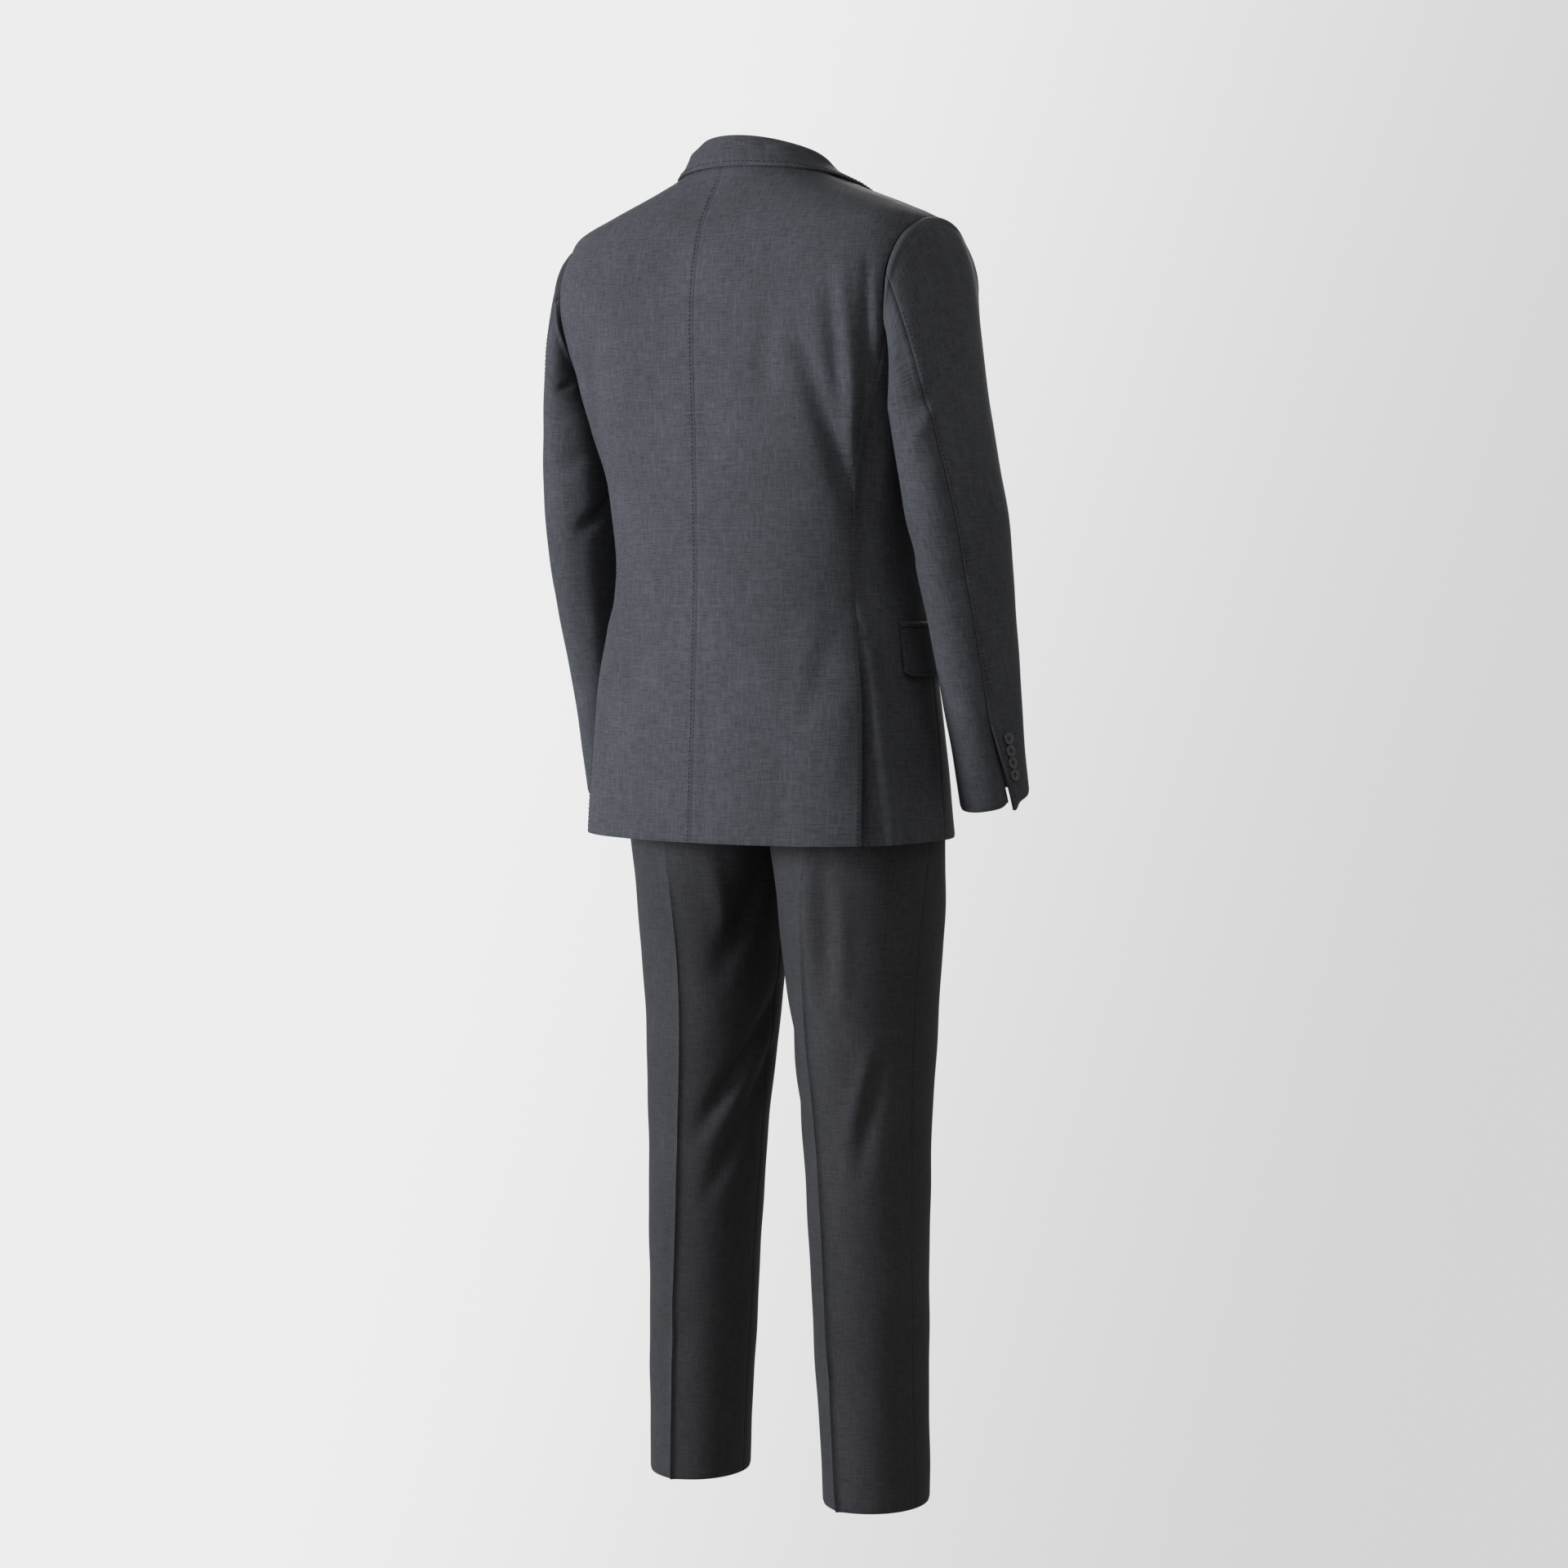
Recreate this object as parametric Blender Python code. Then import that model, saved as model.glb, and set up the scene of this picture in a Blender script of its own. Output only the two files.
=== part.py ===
"""A two-piece suit as it is worn: a single-breasted jacket with side vents, and trousers.

Metres, +Z up. The wearer faces -Y, so the centre back is at +Y and the left sleeve at +X.
The origin is between the shoulders, at the height of the seam at the nape.
"""

import math
from collections import namedtuple

import bpy
import numpy as np
from mathutils import Matrix, Vector

# Driving sizes
JACKET_WALL = 0.0020
TROUSER_WALL = 0.0016
SEAM_GAP = 0.0003
LAID_GAP = 0.0007
HEM_Z = -0.745
NAPE_Z = -0.007
NECK_POINT_Z = -0.020
SHOULDER_END_Z = -0.080
SIDE_FRONT_SEAM_Y = -0.068
VENT_TOP_Z = -0.515
VENT_UNDERLAP = 0.026
VENT_LIFT = 0.0065
FRONT_OVERLAP = 0.018
BREAK_Z = -0.405
UNDER_LAPEL_START = 0.13
FRONT_BUTTON_Z = (-0.420, -0.522)
CROTCH_Z = -0.740
SEAT_Z = -0.640
WAIST_TOP_Z = -0.450
WAISTBAND_HEIGHT = 0.038
TROUSER_HEM_Z = -1.485

# Armhole: an oval in the side of the body form
ARMHOLE_MIDDLE_Y = -0.008
ARMHOLE_MIDDLE_Z = -0.157
ARMHOLE_HALF_DEPTH = 0.085
ARMHOLE_HALF_HEIGHT = ARMHOLE_MIDDLE_Z * -1 + SHOULDER_END_Z
BACK_SEAM_TURN = -30.0
FRONT_SEAM_TURN = 225.0

# Sleeve seams, as turns round the sleeve from its back
HIND_SEAM_TURN = 8.0
FOREARM_SEAM_TURN = 212.0

COLOURS = {
    "cloth": ((0.075, 0.080, 0.092, 1.0), 0.85),
    "trouser_cloth": ((0.060, 0.062, 0.068, 1.0), 0.85),
    "button": ((0.030, 0.030, 0.032, 1.0), 0.35),
}

# Level rings of the jacket's body, from hem to neck
Ring = namedtuple("Ring", "z half_width back front power")
BODY_RINGS = (
    Ring(-0.745, 0.2060, 0.1245, -0.193, 2.35),
    Ring(-0.670, 0.2000, 0.1210, -0.185, 2.35),
    Ring(-0.600, 0.1940, 0.1180, -0.176, 2.35),
    Ring(-0.520, 0.1870, 0.1140, -0.166, 2.30),
    Ring(-0.440, 0.1800, 0.1125, -0.160, 2.25),
    Ring(-0.370, 0.1870, 0.1140, -0.160, 2.40),
    Ring(-0.310, 0.1985, 0.1158, -0.160, 2.80),
    Ring(-0.250, 0.2100, 0.1180, -0.158, 3.30),
    Ring(-0.200, 0.2230, 0.1195, -0.152, 3.70),
    Ring(-0.160, 0.2300, 0.1185, -0.145, 3.90),
    Ring(-0.127, 0.2325, 0.1140, -0.135, 3.60),
    Ring(-0.100, 0.2300, 0.1075, -0.121, 3.00),
    Ring(-0.080, 0.2220, 0.1000, -0.107, 2.60),
    Ring(-0.061, 0.1840, 0.0895, -0.093, 2.30),
    Ring(-0.040, 0.1300, 0.0760, -0.081, 2.20),
    Ring(-0.020, 0.0880, 0.0650, -0.072, 2.10),
    Ring(0.002, 0.0760, 0.0550, -0.065, 2.00),
)

# The seam between back and side panel: how far it lies from the centre
SeamPoint = namedtuple("SeamPoint", "z x")
SIDE_BACK_SEAM = (
    SeamPoint(-0.745, 0.1755),
    SeamPoint(-0.600, 0.1700),
    SeamPoint(-0.520, 0.1645),
    SeamPoint(-0.440, 0.1600),
    SeamPoint(-0.365, 0.1660),
    SeamPoint(-0.310, 0.1800),
    SeamPoint(-0.250, 0.1980),
)

# The free edge of the front, from hem to neck; x counts away from the centre
FRONT_EDGE = (
    SeamPoint(-0.745, 0.0620),
    SeamPoint(-0.725, 0.0350),
    SeamPoint(-0.690, 0.0120),
    SeamPoint(-0.640, -0.0060),
    SeamPoint(-0.560, -0.0160),
    SeamPoint(-0.500, -FRONT_OVERLAP),
    SeamPoint(BREAK_Z, -0.0160),
    SeamPoint(-0.380, -0.0090),
    SeamPoint(-0.300, 0.0150),
    SeamPoint(-0.200, 0.0420),
    SeamPoint(-0.100, 0.0690),
    SeamPoint(-0.055, 0.0805),
    SeamPoint(NECK_POINT_Z, 0.0865),
)

# Lapel: the roll line's height, and how far the lapel's edge lies from the centre there
LapelRow = namedtuple("LapelRow", "roll_z edge_x edge_z")
LAPEL = (
    LapelRow(-0.400, -0.0100, -0.402),
    LapelRow(-0.370, 0.0230, -0.370),
    LapelRow(-0.320, 0.0600, -0.318),
    LapelRow(-0.250, 0.0960, -0.245),
    LapelRow(-0.180, 0.1230, -0.172),
    LapelRow(-0.115, 0.1410, -0.127),
    LapelRow(-0.061, 0.1460, -0.105),
)

# Collar: its neck seam, its fold and the free edge of its fall, from centre back to front
CollarRow = namedtuple("CollarRow", "seam fold edge")
COLLAR = (
    CollarRow((0.000, 0.0560, -0.007), (0.000, 0.0560, 0.0160), (0.000, 0.0690, -0.0165)),
    CollarRow((0.040, 0.0480, -0.009), (0.031, 0.0475, 0.0140), (0.047, 0.0590, -0.0185)),
    CollarRow((0.070, 0.0260, -0.014), (0.055, 0.0245, 0.0080), (0.084, 0.0310, -0.0230)),
    CollarRow((0.082, -0.0060, -0.018), (0.066, -0.0080, -0.0010), (0.104, -0.0080, -0.0310)),
    CollarRow((0.080, -0.0400, -0.032), (0.0695, -0.0420, -0.014), (0.119, -0.0470, -0.050)),
    CollarRow((0.072, -0.0800, -0.069), (0.069, -0.0800, -0.053), (0.128, -0.0840, -0.086)),
)

# Level rings of a sleeve: its middle, half its width and depth, its twist and its tilt
ArmRing = namedtuple("ArmRing", "z x y half_width half_depth twist tilt")
ARM_RINGS = (
    ArmRing(-0.285, 0.2315, -0.0090, 0.0400, 0.0800, 28.0, 0.02),
    ArmRing(-0.345, 0.2390, -0.0150, 0.0440, 0.0760, 32.0, 0.04),
    ArmRing(-0.400, 0.2445, -0.0240, 0.0460, 0.0710, 34.0, 0.10),
    ArmRing(-0.460, 0.2480, -0.0360, 0.0430, 0.0660, 36.0, 0.14),
    ArmRing(-0.520, 0.2500, -0.0490, 0.0400, 0.0600, 38.0, 0.17),
    ArmRing(-0.630, 0.2530, -0.0710, 0.0350, 0.0500, 43.0, 0.21),
    ArmRing(-0.700, 0.2550, -0.0850, 0.0335, 0.0470, 50.0, 0.25),
)
CUFF_VENT_SHARE = 0.82
CUFF_VENT_TURN = 12.0

# Level rings of the trousers above the crotch
SEAT_RINGS = (
    Ring(-0.740, 0.1920, 0.0700, -0.160, 2.40),
    Ring(-0.685, 0.1910, 0.0790, -0.156, 2.40),
    Ring(-0.640, 0.1890, 0.0850, -0.150, 2.35),
    Ring(-0.580, 0.1893, 0.0860, -0.146, 2.30),
    Ring(-0.520, 0.1790, 0.0840, -0.136, 2.25),
    Ring(-0.450, 0.1660, 0.0800, -0.130, 2.20),
)

# Level rings of one trouser leg; crease is how far its pressed edges stand out
LegRing = namedtuple("LegRing", "z x y half_width half_depth toe_out crease")
LEG_RINGS = (
    LegRing(-1.485, 0.1220, -0.0585, 0.0560, 0.0635, 7.0, 0.0065),
    LegRing(-1.280, 0.1150, -0.0570, 0.0610, 0.0690, 8.0, 0.0065),
    LegRing(-1.090, 0.1090, -0.0575, 0.0675, 0.0745, 10.0, 0.0060),
    LegRing(-0.920, 0.1025, -0.0600, 0.0780, 0.0905, 11.0, 0.0050),
    LegRing(-0.810, 0.0990, -0.0590, 0.0890, 0.1005, 6.0, 0.0030),
    LegRing(-0.740, 0.0965, -0.0550, 0.0962, 0.1020, 0.0, 0.0),
)

# Soft folds pressed into the cloth: two ends, half a width and a depth
Fold = namedtuple("Fold", "start end half_width depth")
BACK_FOLDS = (
    Fold((0.126, -0.185), (0.168, -0.390), 0.018, 0.0060),
    Fold((0.180, -0.150), (0.188, -0.300), 0.013, 0.0035),
)


def smooth_at(stations, values, at):
    """Reads a smooth curve through a table's rows at one or many stations."""
    stations, values = np.asarray(stations, float), np.asarray(values, float)
    slopes = np.gradient(values, stations)
    at = np.asarray(at, float)
    row = np.clip(np.searchsorted(stations, at) - 1, 0, len(stations) - 2)
    step = stations[row + 1] - stations[row]
    t = (at - stations[row]) / step
    return (
        (2 * t**3 - 3 * t**2 + 1) * values[row]
        + (t**3 - 2 * t**2 + t) * step * slopes[row]
        + (3 * t**2 - 2 * t**3) * values[row + 1]
        + (t**3 - t**2) * step * slopes[row + 1]
    )


def eased(value, low, high):
    """Runs smoothly from 0 at low to 1 at high."""
    t = np.clip((np.asarray(value, float) - low) / (high - low), 0, 1)
    return t * t * (3 - 2 * t)


def unit(vectors):
    return vectors / np.linalg.norm(vectors, axis=-1, keepdims=True)


class Form:
    """A closed form made of level rings, each a rounded box between an ellipse and a rectangle."""

    def __init__(self, rings):
        self.rings = rings
        self.z = [ring.z for ring in rings]

    def read(self, name, z):
        return smooth_at(self.z, [getattr(ring, name) for ring in self.rings], z)

    def sizes(self, z):
        """Half width, middle y, half depth and power of the ring at this height."""
        back, front = self.read("back", z), self.read("front", z)
        return self.read("half_width", z), (back + front) / 2, (back - front) / 2, self.read("power", z)

    def point(self, turn, z):
        """The point at a turn from the back, in degrees, towards +X."""
        half_width, middle, half_depth, power = self.sizes(z)
        across, along = np.sin(np.radians(turn)), np.cos(np.radians(turn))
        x = half_width * np.sign(across) * np.abs(across) ** (2 / power)
        y = middle + half_depth * np.sign(along) * np.abs(along) ** (2 / power)
        return np.stack(np.broadcast_arrays(x, y, z), axis=-1)

    def over(self, x, z, side):
        """The point at x and z on the back, side 1, or on the front, side -1."""
        half_width, middle, half_depth, power = self.sizes(z)
        share = np.clip(np.abs(x) / half_width, 0, 1)
        y = middle + side * half_depth * (1 - share**power) ** (1 / power)
        return np.stack(np.broadcast_arrays(x, y, z), axis=-1)

    def side_x(self, y, z):
        half_width, middle, half_depth, power = self.sizes(z)
        share = np.clip(np.abs(y - middle) / half_depth, 0, 1)
        return half_width * (1 - share**power) ** (1 / power)

    def turn_of(self, points):
        _, middle, half_depth, power = self.sizes(points[..., 2])
        share = (points[..., 1] - middle) / half_depth
        return np.degrees(np.arccos(np.clip(np.sign(share) * np.abs(share) ** (power / 2), -1, 1)))

    def level(self, points):
        half_width, middle, half_depth, power = self.sizes(points[..., 2])
        across = np.abs(points[..., 0]) / half_width
        along = np.abs(points[..., 1] - middle) / half_depth
        return across**power + along**power

    def slope(self, points):
        step = 1e-4
        moves = np.eye(3) * step
        return np.stack(
            [(self.level(points + move) - self.level(points - move)) / (2 * step) for move in moves],
            axis=-1,
        )

    def normals(self, points):
        return unit(self.slope(points))

    def lifted(self, points, height):
        """Points that lie lower than this over the form are moved out to it."""
        for _ in range(3):
            slope = self.slope(points)
            size = np.linalg.norm(slope, axis=-1)
            over = (self.level(points) - 1) / size
            points = points + unit(slope) * np.maximum(height - over, 0)[..., None]
        return points

    def laid(self, points, height):
        """Points moved along the slope to lie exactly this high over the form."""
        for _ in range(4):
            slope = self.slope(points)
            over = (self.level(points) - 1) / np.linalg.norm(slope, axis=-1)
            points = points + unit(slope) * (height - over)[..., None]
        return points


BODY = Form(BODY_RINGS)
SEAT = Form(SEAT_RINGS)


def pressed(points, normals, folds):
    """Points pressed in along soft troughs, which fade out towards both of their ends."""
    depth = np.zeros(points.shape[:-1])
    place = np.stack([np.abs(points[..., 0]), points[..., 2]], axis=-1)
    for fold in folds:
        start, end = np.array(fold.start), np.array(fold.end)
        run = end - start
        along = ((place - start) @ run) / (run @ run)
        off = np.linalg.norm(place - start - np.clip(along, 0, 1)[..., None] * run, axis=-1)
        fade = eased(along, -0.1, 0.4) * (1 - eased(along, 0.6, 1.1))
        depth += fold.depth * fade * np.exp(-((off / fold.half_width) ** 2))
    return points - normals * depth[..., None]


def mirrored(grid):
    return grid * np.array([-1.0, 1.0, 1.0])


def signed_volume(points, faces):
    volume = 0.0
    for face in faces:
        first = points[face[0]]
        for second, third in zip(face[1:-1], face[2:]):
            volume += np.dot(first, np.cross(points[second], points[third]))
    return volume


def finish_look(obj, colour):
    rgba, roughness = COLOURS[colour]
    material = bpy.data.materials.get(colour) or bpy.data.materials.new(colour)
    material.use_nodes = True
    shader = material.node_tree.nodes["Principled BSDF"]
    shader.inputs["Base Color"].default_value = rgba
    shader.inputs["Roughness"].default_value = roughness
    shader.inputs["Metallic"].default_value = 0.0
    obj.data.materials.append(material)
    obj.data.shade_smooth()
    obj.data.set_sharp_from_angle(angle=math.radians(50))


def add_mesh(name, points, faces, colour):
    points = np.asarray(points, float)
    if signed_volume(points, faces) < 0:
        faces = [face[::-1] for face in faces]
    mesh = bpy.data.meshes.new(name)
    mesh.from_pydata([tuple(point) for point in points], [], [list(face) for face in faces])
    obj = bpy.data.objects.new(name, mesh)
    bpy.context.scene.collection.objects.link(obj)
    finish_look(obj, colour)
    return obj


def cloth(name, outer, normals, wall, colour="cloth"):
    """A closed wall of cloth: a grid of outer points, the same grid moved in, and four edges."""
    rows, columns = outer.shape[:2]
    points = np.concatenate([outer.reshape(-1, 3), (outer - normals * wall).reshape(-1, 3)])
    under = rows * columns

    def at(row, column):
        return row * columns + column

    faces = []
    for row in range(rows - 1):
        for column in range(columns - 1):
            quad = [at(row, column), at(row + 1, column), at(row + 1, column + 1), at(row, column + 1)]
            faces.append(quad)
            faces.append([under + index for index in quad[::-1]])
    rim = [at(0, column) for column in range(columns)]
    rim += [at(row, columns - 1) for row in range(1, rows)]
    rim += [at(rows - 1, column) for column in range(columns - 2, -1, -1)]
    rim += [at(row, 0) for row in range(rows - 2, 0, -1)]
    for here, after in zip(rim, rim[1:] + rim[:1]):
        faces.append([here, after, under + after, under + here])
    return add_mesh(name, points, faces, colour)


def grid_normals(grid, outward):
    """Normals of a grid from its own rows and columns, facing the side that outward points to."""
    normals = unit(np.cross(np.gradient(grid, axis=0), np.gradient(grid, axis=1)))
    return normals * np.sign((normals * outward).sum(-1, keepdims=True))


def coons(bottom, top, inner, outer):
    """A patch through four edges. Each edge is a list of points with as many as its opposite."""
    v = np.linspace(0, 1, len(inner))[:, None, None]
    s = np.linspace(0, 1, len(bottom))[None, :, None]
    edges = (1 - v) * bottom[None] + v * top[None] + (1 - s) * inner[:, None] + s * outer[:, None]
    corners = (1 - v) * ((1 - s) * bottom[0] + s * bottom[-1]) + v * ((1 - s) * top[0] + s * top[-1])
    return edges - corners


def row_shares(rows, crowding):
    """Shares from 0 to 1 that crowd together towards 1."""
    return 1 - (1 - np.linspace(0, 1, rows)) ** crowding


def end_shares(rows):
    """Shares from 0 to 1 that crowd together towards both ends."""
    share = np.linspace(0, 1, rows)
    return 0.4 * share + 0.3 * (1 - np.cos(share * math.pi))


def snapped(shares, at):
    """The shares with the nearest one moved to this place."""
    shares = shares.copy()
    shares[np.argmin(np.abs(shares - at))] = at
    return shares


def column_shares(columns, bend):
    """Shares from 0 to 1 that crowd together towards 1, as points round an arc do."""
    return np.sin(np.linspace(0, 1, columns) * bend) / math.sin(bend)


# Jacket body


def armhole(turn):
    """The armhole's edge on the left side; turn runs from the back over the top to the front."""
    turn = np.radians(turn)
    y = ARMHOLE_MIDDLE_Y + ARMHOLE_HALF_DEPTH * np.cos(turn)
    z = ARMHOLE_MIDDLE_Z + ARMHOLE_HALF_HEIGHT * np.sin(turn)
    return np.stack([BODY.side_x(y, z), y, z], axis=-1)


def side_back_x(z):
    stations = [row.z for row in SIDE_BACK_SEAM]
    values = [row.x for row in SIDE_BACK_SEAM]
    top = armhole(BACK_SEAM_TURN)
    return smooth_at(stations + [top[2]], values + [top[0]], z)


# How much of a panel's outer edge is the side seam; the armhole takes the rest
SIDE_SHARE = 0.72


def edge_on_seam_then_armhole(shares, seam_x, first_turn, top_turn):
    """The outer edge of a front or back in x and z: up the side seam, then round the armhole."""
    seam_top = armhole(first_turn)[2]
    split = SIDE_SHARE
    edge = []
    for share in shares:
        if share < split:
            z = HEM_Z + (seam_top - HEM_Z) * share / split
            edge.append((float(seam_x(z)), z))
        else:
            turn = first_turn + (top_turn - first_turn) * (share - split) / (1 - split)
            point = armhole(turn)
            edge.append((point[0], point[2]))
    return np.array(edge)


def neck_and_shoulder(columns, neck_columns):
    """The top edge of a back in x and z, from the nape to the neck point and the shoulder's end."""
    neck_x = BODY.read("half_width", NECK_POINT_Z)
    end_x = armhole(90)[0]
    x = np.concatenate(
        [
            np.linspace(0, neck_x, neck_columns, endpoint=False),
            np.linspace(neck_x, end_x, columns - neck_columns),
        ]
    )
    z = np.where(x < neck_x, NECK_POINT_Z * (x / neck_x) ** 2, 0)
    heights = np.linspace(NECK_POINT_Z, SHOULDER_END_Z, 60)
    widths = BODY.read("half_width", heights)
    return np.stack([x, np.where(x < neck_x, z, np.interp(x, widths, heights))], axis=-1)


def back_panel(rows=23, columns=11, neck_columns=4):
    """Outer points and normals of the left back."""
    seam_top = armhole(BACK_SEAM_TURN)[2]
    vent_share = SIDE_SHARE * (VENT_TOP_Z - HEM_Z) / (seam_top - HEM_Z)
    shares = snapped(row_shares(rows, 1.5), vent_share)
    inner = np.stack([np.zeros(rows), HEM_Z + (NAPE_Z - HEM_Z) * shares], axis=-1)
    outer = edge_on_seam_then_armhole(shares, side_back_x, BACK_SEAM_TURN, 90)
    bottom = np.stack([outer[0, 0] * column_shares(columns, 1.0), np.full(columns, HEM_Z)], axis=-1)
    top = neck_and_shoulder(columns, neck_columns)
    flat = coons(bottom, top, inner, outer)
    x, z = flat[..., 0], flat[..., 1]
    x = np.clip(x, SEAM_GAP / 2, None)
    points = BODY.over(x, z, 1)
    normals = BODY.normals(points)
    points = pressed(points, normals, BACK_FOLDS)
    middle = BODY.sizes(z)[1]
    points[..., 1] = np.maximum(points[..., 1], middle + SEAM_GAP / 2)
    on_ridge = slice(neck_columns, None)
    points[-1, on_ridge, 1] = middle[-1, on_ridge] + SEAM_GAP / 2
    near_vent = (1 - eased(z, VENT_TOP_Z - 0.10, VENT_TOP_Z + 0.02)) * eased(x, 0.09, 0.17)
    laid = (JACKET_WALL + LAID_GAP) * (1 - eased(z, VENT_TOP_Z, VENT_TOP_Z + 0.03)) * eased(x, 0.10, 0.135)
    points = points + normals * (VENT_LIFT * near_vent + laid)[..., None]
    return points, normals


def side_panel(rows=20, columns=8):
    """Outer points and normals of the left side panel, with its underlap in the vent."""
    turns = np.linspace(FRONT_SEAM_TURN, 360 + BACK_SEAM_TURN, columns)[::-1]
    top = armhole(turns)
    vent_share = (VENT_TOP_Z - HEM_Z) / (top[0, 2] - HEM_Z)
    shares = snapped(snapped(np.linspace(0, 1, rows), vent_share), vent_share - 0.02)[:, None]
    z = HEM_Z + (top[None, :, 2] - HEM_Z) * shares
    back_edge = BODY.over(side_back_x(z[:, 0]), z[:, 0], 1)
    front_edge = np.stack([np.zeros(rows), np.full(rows, SIDE_FRONT_SEAM_Y), z[:, -1]], axis=-1)
    first, last = BODY.turn_of(back_edge), BODY.turn_of(front_edge)
    half_width = BODY.read("half_width", z[:, 0])
    gap = np.degrees(3.6 * SEAM_GAP / half_width)
    underlap = VENT_UNDERLAP * (z[:, 0] < VENT_TOP_Z - 0.002)
    first = first + gap - np.degrees(underlap / half_width)
    last = last - gap
    across = np.linspace(0, 1, columns)[None, :]
    points = BODY.point(first[:, None] + (last - first)[:, None] * across, z)
    return points, BODY.normals(points)


def front_edge_x(z):
    return smooth_at([row.z for row in FRONT_EDGE], [row.x for row in FRONT_EDGE], z)


def side_front_x(z):
    return BODY.side_x(SIDE_FRONT_SEAM_Y, z)


def front_panel(overlaps, rows=24, columns=12):
    """Outer points and normals of the left front. The one that overlaps lies on the other."""
    shares = end_shares(rows)
    edge_z = HEM_Z + (NECK_POINT_Z - HEM_Z) * shares
    inner = np.stack([front_edge_x(edge_z), edge_z], axis=-1)
    outer = edge_on_seam_then_armhole(shares, side_front_x, FRONT_SEAM_TURN, 90)
    width = outer[0, 0] - inner[0, 0]
    spread = column_shares(columns, 1.35)
    bottom = np.stack([inner[0, 0] + width * spread, np.full(columns, HEM_Z)], axis=-1)
    top_x = np.linspace(inner[-1, 0], outer[-1, 0], columns)
    heights = np.linspace(NECK_POINT_Z, SHOULDER_END_Z, 60)
    top_z = np.interp(top_x, BODY.read("half_width", heights), heights)
    flat = coons(bottom, np.stack([top_x, top_z], axis=-1), inner, outer)
    x, z = flat[..., 0], flat[..., 1]
    points = BODY.over(x, z, -1)
    normals = BODY.normals(points)
    middle = BODY.sizes(z)[1]
    points[..., 1] = np.minimum(points[..., 1], middle - SEAM_GAP / 2)
    points[-1, :, 1] = middle[-1] - SEAM_GAP / 2
    if overlaps:
        laid = (JACKET_WALL + LAID_GAP) * (1 - eased(x, FRONT_OVERLAP + 0.012, FRONT_OVERLAP + 0.045))
        points = points + normals * (laid * (1 - eased(z, -0.34, -0.27)))[..., None]
    return points, normals


def lapel(first_share, rows=13, columns=5):
    """Outer points and normals of a lapel, as on the left. The lower one starts beside the upper."""
    shares = np.linspace(first_share, 1, rows)
    stations = np.linspace(0, 1, len(LAPEL))
    roll_z = smooth_at(stations, [row.roll_z for row in LAPEL], shares)
    edge_x = smooth_at(stations, [row.edge_x for row in LAPEL], shares)
    edge_z = smooth_at(stations, [row.edge_z for row in LAPEL], shares)
    roll_x = front_edge_x(roll_z) - 0.001
    if first_share:
        roll_x = np.maximum(roll_x, 0.0016 - front_edge_x(roll_z))
    across = np.linspace(0, 1, columns)[None, :]
    x = roll_x[:, None] + (edge_x - roll_x)[:, None] * across
    z = roll_z[:, None] + (edge_z - roll_z)[:, None] * across
    points = BODY.over(x, z, -1)
    normals = BODY.normals(points)
    roll = 0.0022 * np.exp(-across * 5) + 0.0012 * np.sin(across * math.pi)
    under = (JACKET_WALL + LAID_GAP) * (1 - eased(z, -0.37, -0.30)) * (first_share == 0)
    return points + normals * (JACKET_WALL + LAID_GAP + roll + under)[..., None], normals


def collar(columns=33):
    """Outer points and normals of the whole collar: up its stand, over the fold, down its fall."""
    stations = np.linspace(-len(COLLAR) + 1, len(COLLAR) - 1, 2 * len(COLLAR) - 1)
    at = np.linspace(stations[0], stations[-1], columns)

    def guide(name):
        left = np.array([getattr(row, name) for row in COLLAR])
        both = np.concatenate([mirrored(left[:0:-1]), left])
        return np.stack([smooth_at(stations, both[:, axis], at) for axis in range(3)], axis=-1)

    seam, fold, edge = guide("seam"), guide("fold"), guide("edge")
    fall_top = fold + unit(edge - seam) * 0.0052
    rise = 0.0022 * np.array([0.0, 0.0, 1.0])
    up = [0.0, 0.45, 0.85]
    down = [0.12, 0.40, 0.70, 1.0]
    rows = [seam + (fold - seam) * share for share in up]
    rows.append((fold + fall_top) / 2 + rise)
    rows += [fall_top + (edge - fall_top) * share for share in down]
    grid = np.stack(rows)
    grid[-1] = BODY.laid(grid[-1], 0.0034)
    for row, height in ((-2, 0.0042), (-3, 0.0042), (-4, 0.0040)):
        grid[row] = BODY.lifted(grid[row], height)
    for row in (0, 1):
        grid[row] = BODY.lifted(grid[row], SEAM_GAP + 0.0004)
    across = np.gradient(grid, axis=1)
    along = np.gradient(grid, axis=0)
    normals = unit(np.cross(along, across))
    outward = grid[-1].mean(axis=0) - grid[0].mean(axis=0)
    centre = columns // 2
    if normals[-1, centre] @ np.array([0.0, 1.0, 0.0]) < 0:
        normals = -normals
    return grid, normals


# Sleeves


def arm_ring(turn, z):
    """The point of a left sleeve's ring at a turn from its back, with the arm's own twist."""
    stations = [ring.z for ring in ARM_RINGS][::-1]

    def read(name):
        return smooth_at(stations, [getattr(ring, name) for ring in ARM_RINGS][::-1], z)

    angle = np.radians(turn + read("twist"))
    x = read("x") + read("half_width") * np.sin(angle)
    along = read("half_depth") * np.cos(angle)
    return np.stack(np.broadcast_arrays(x, read("y") + along, z - read("tilt") * along), axis=-1)


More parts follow.
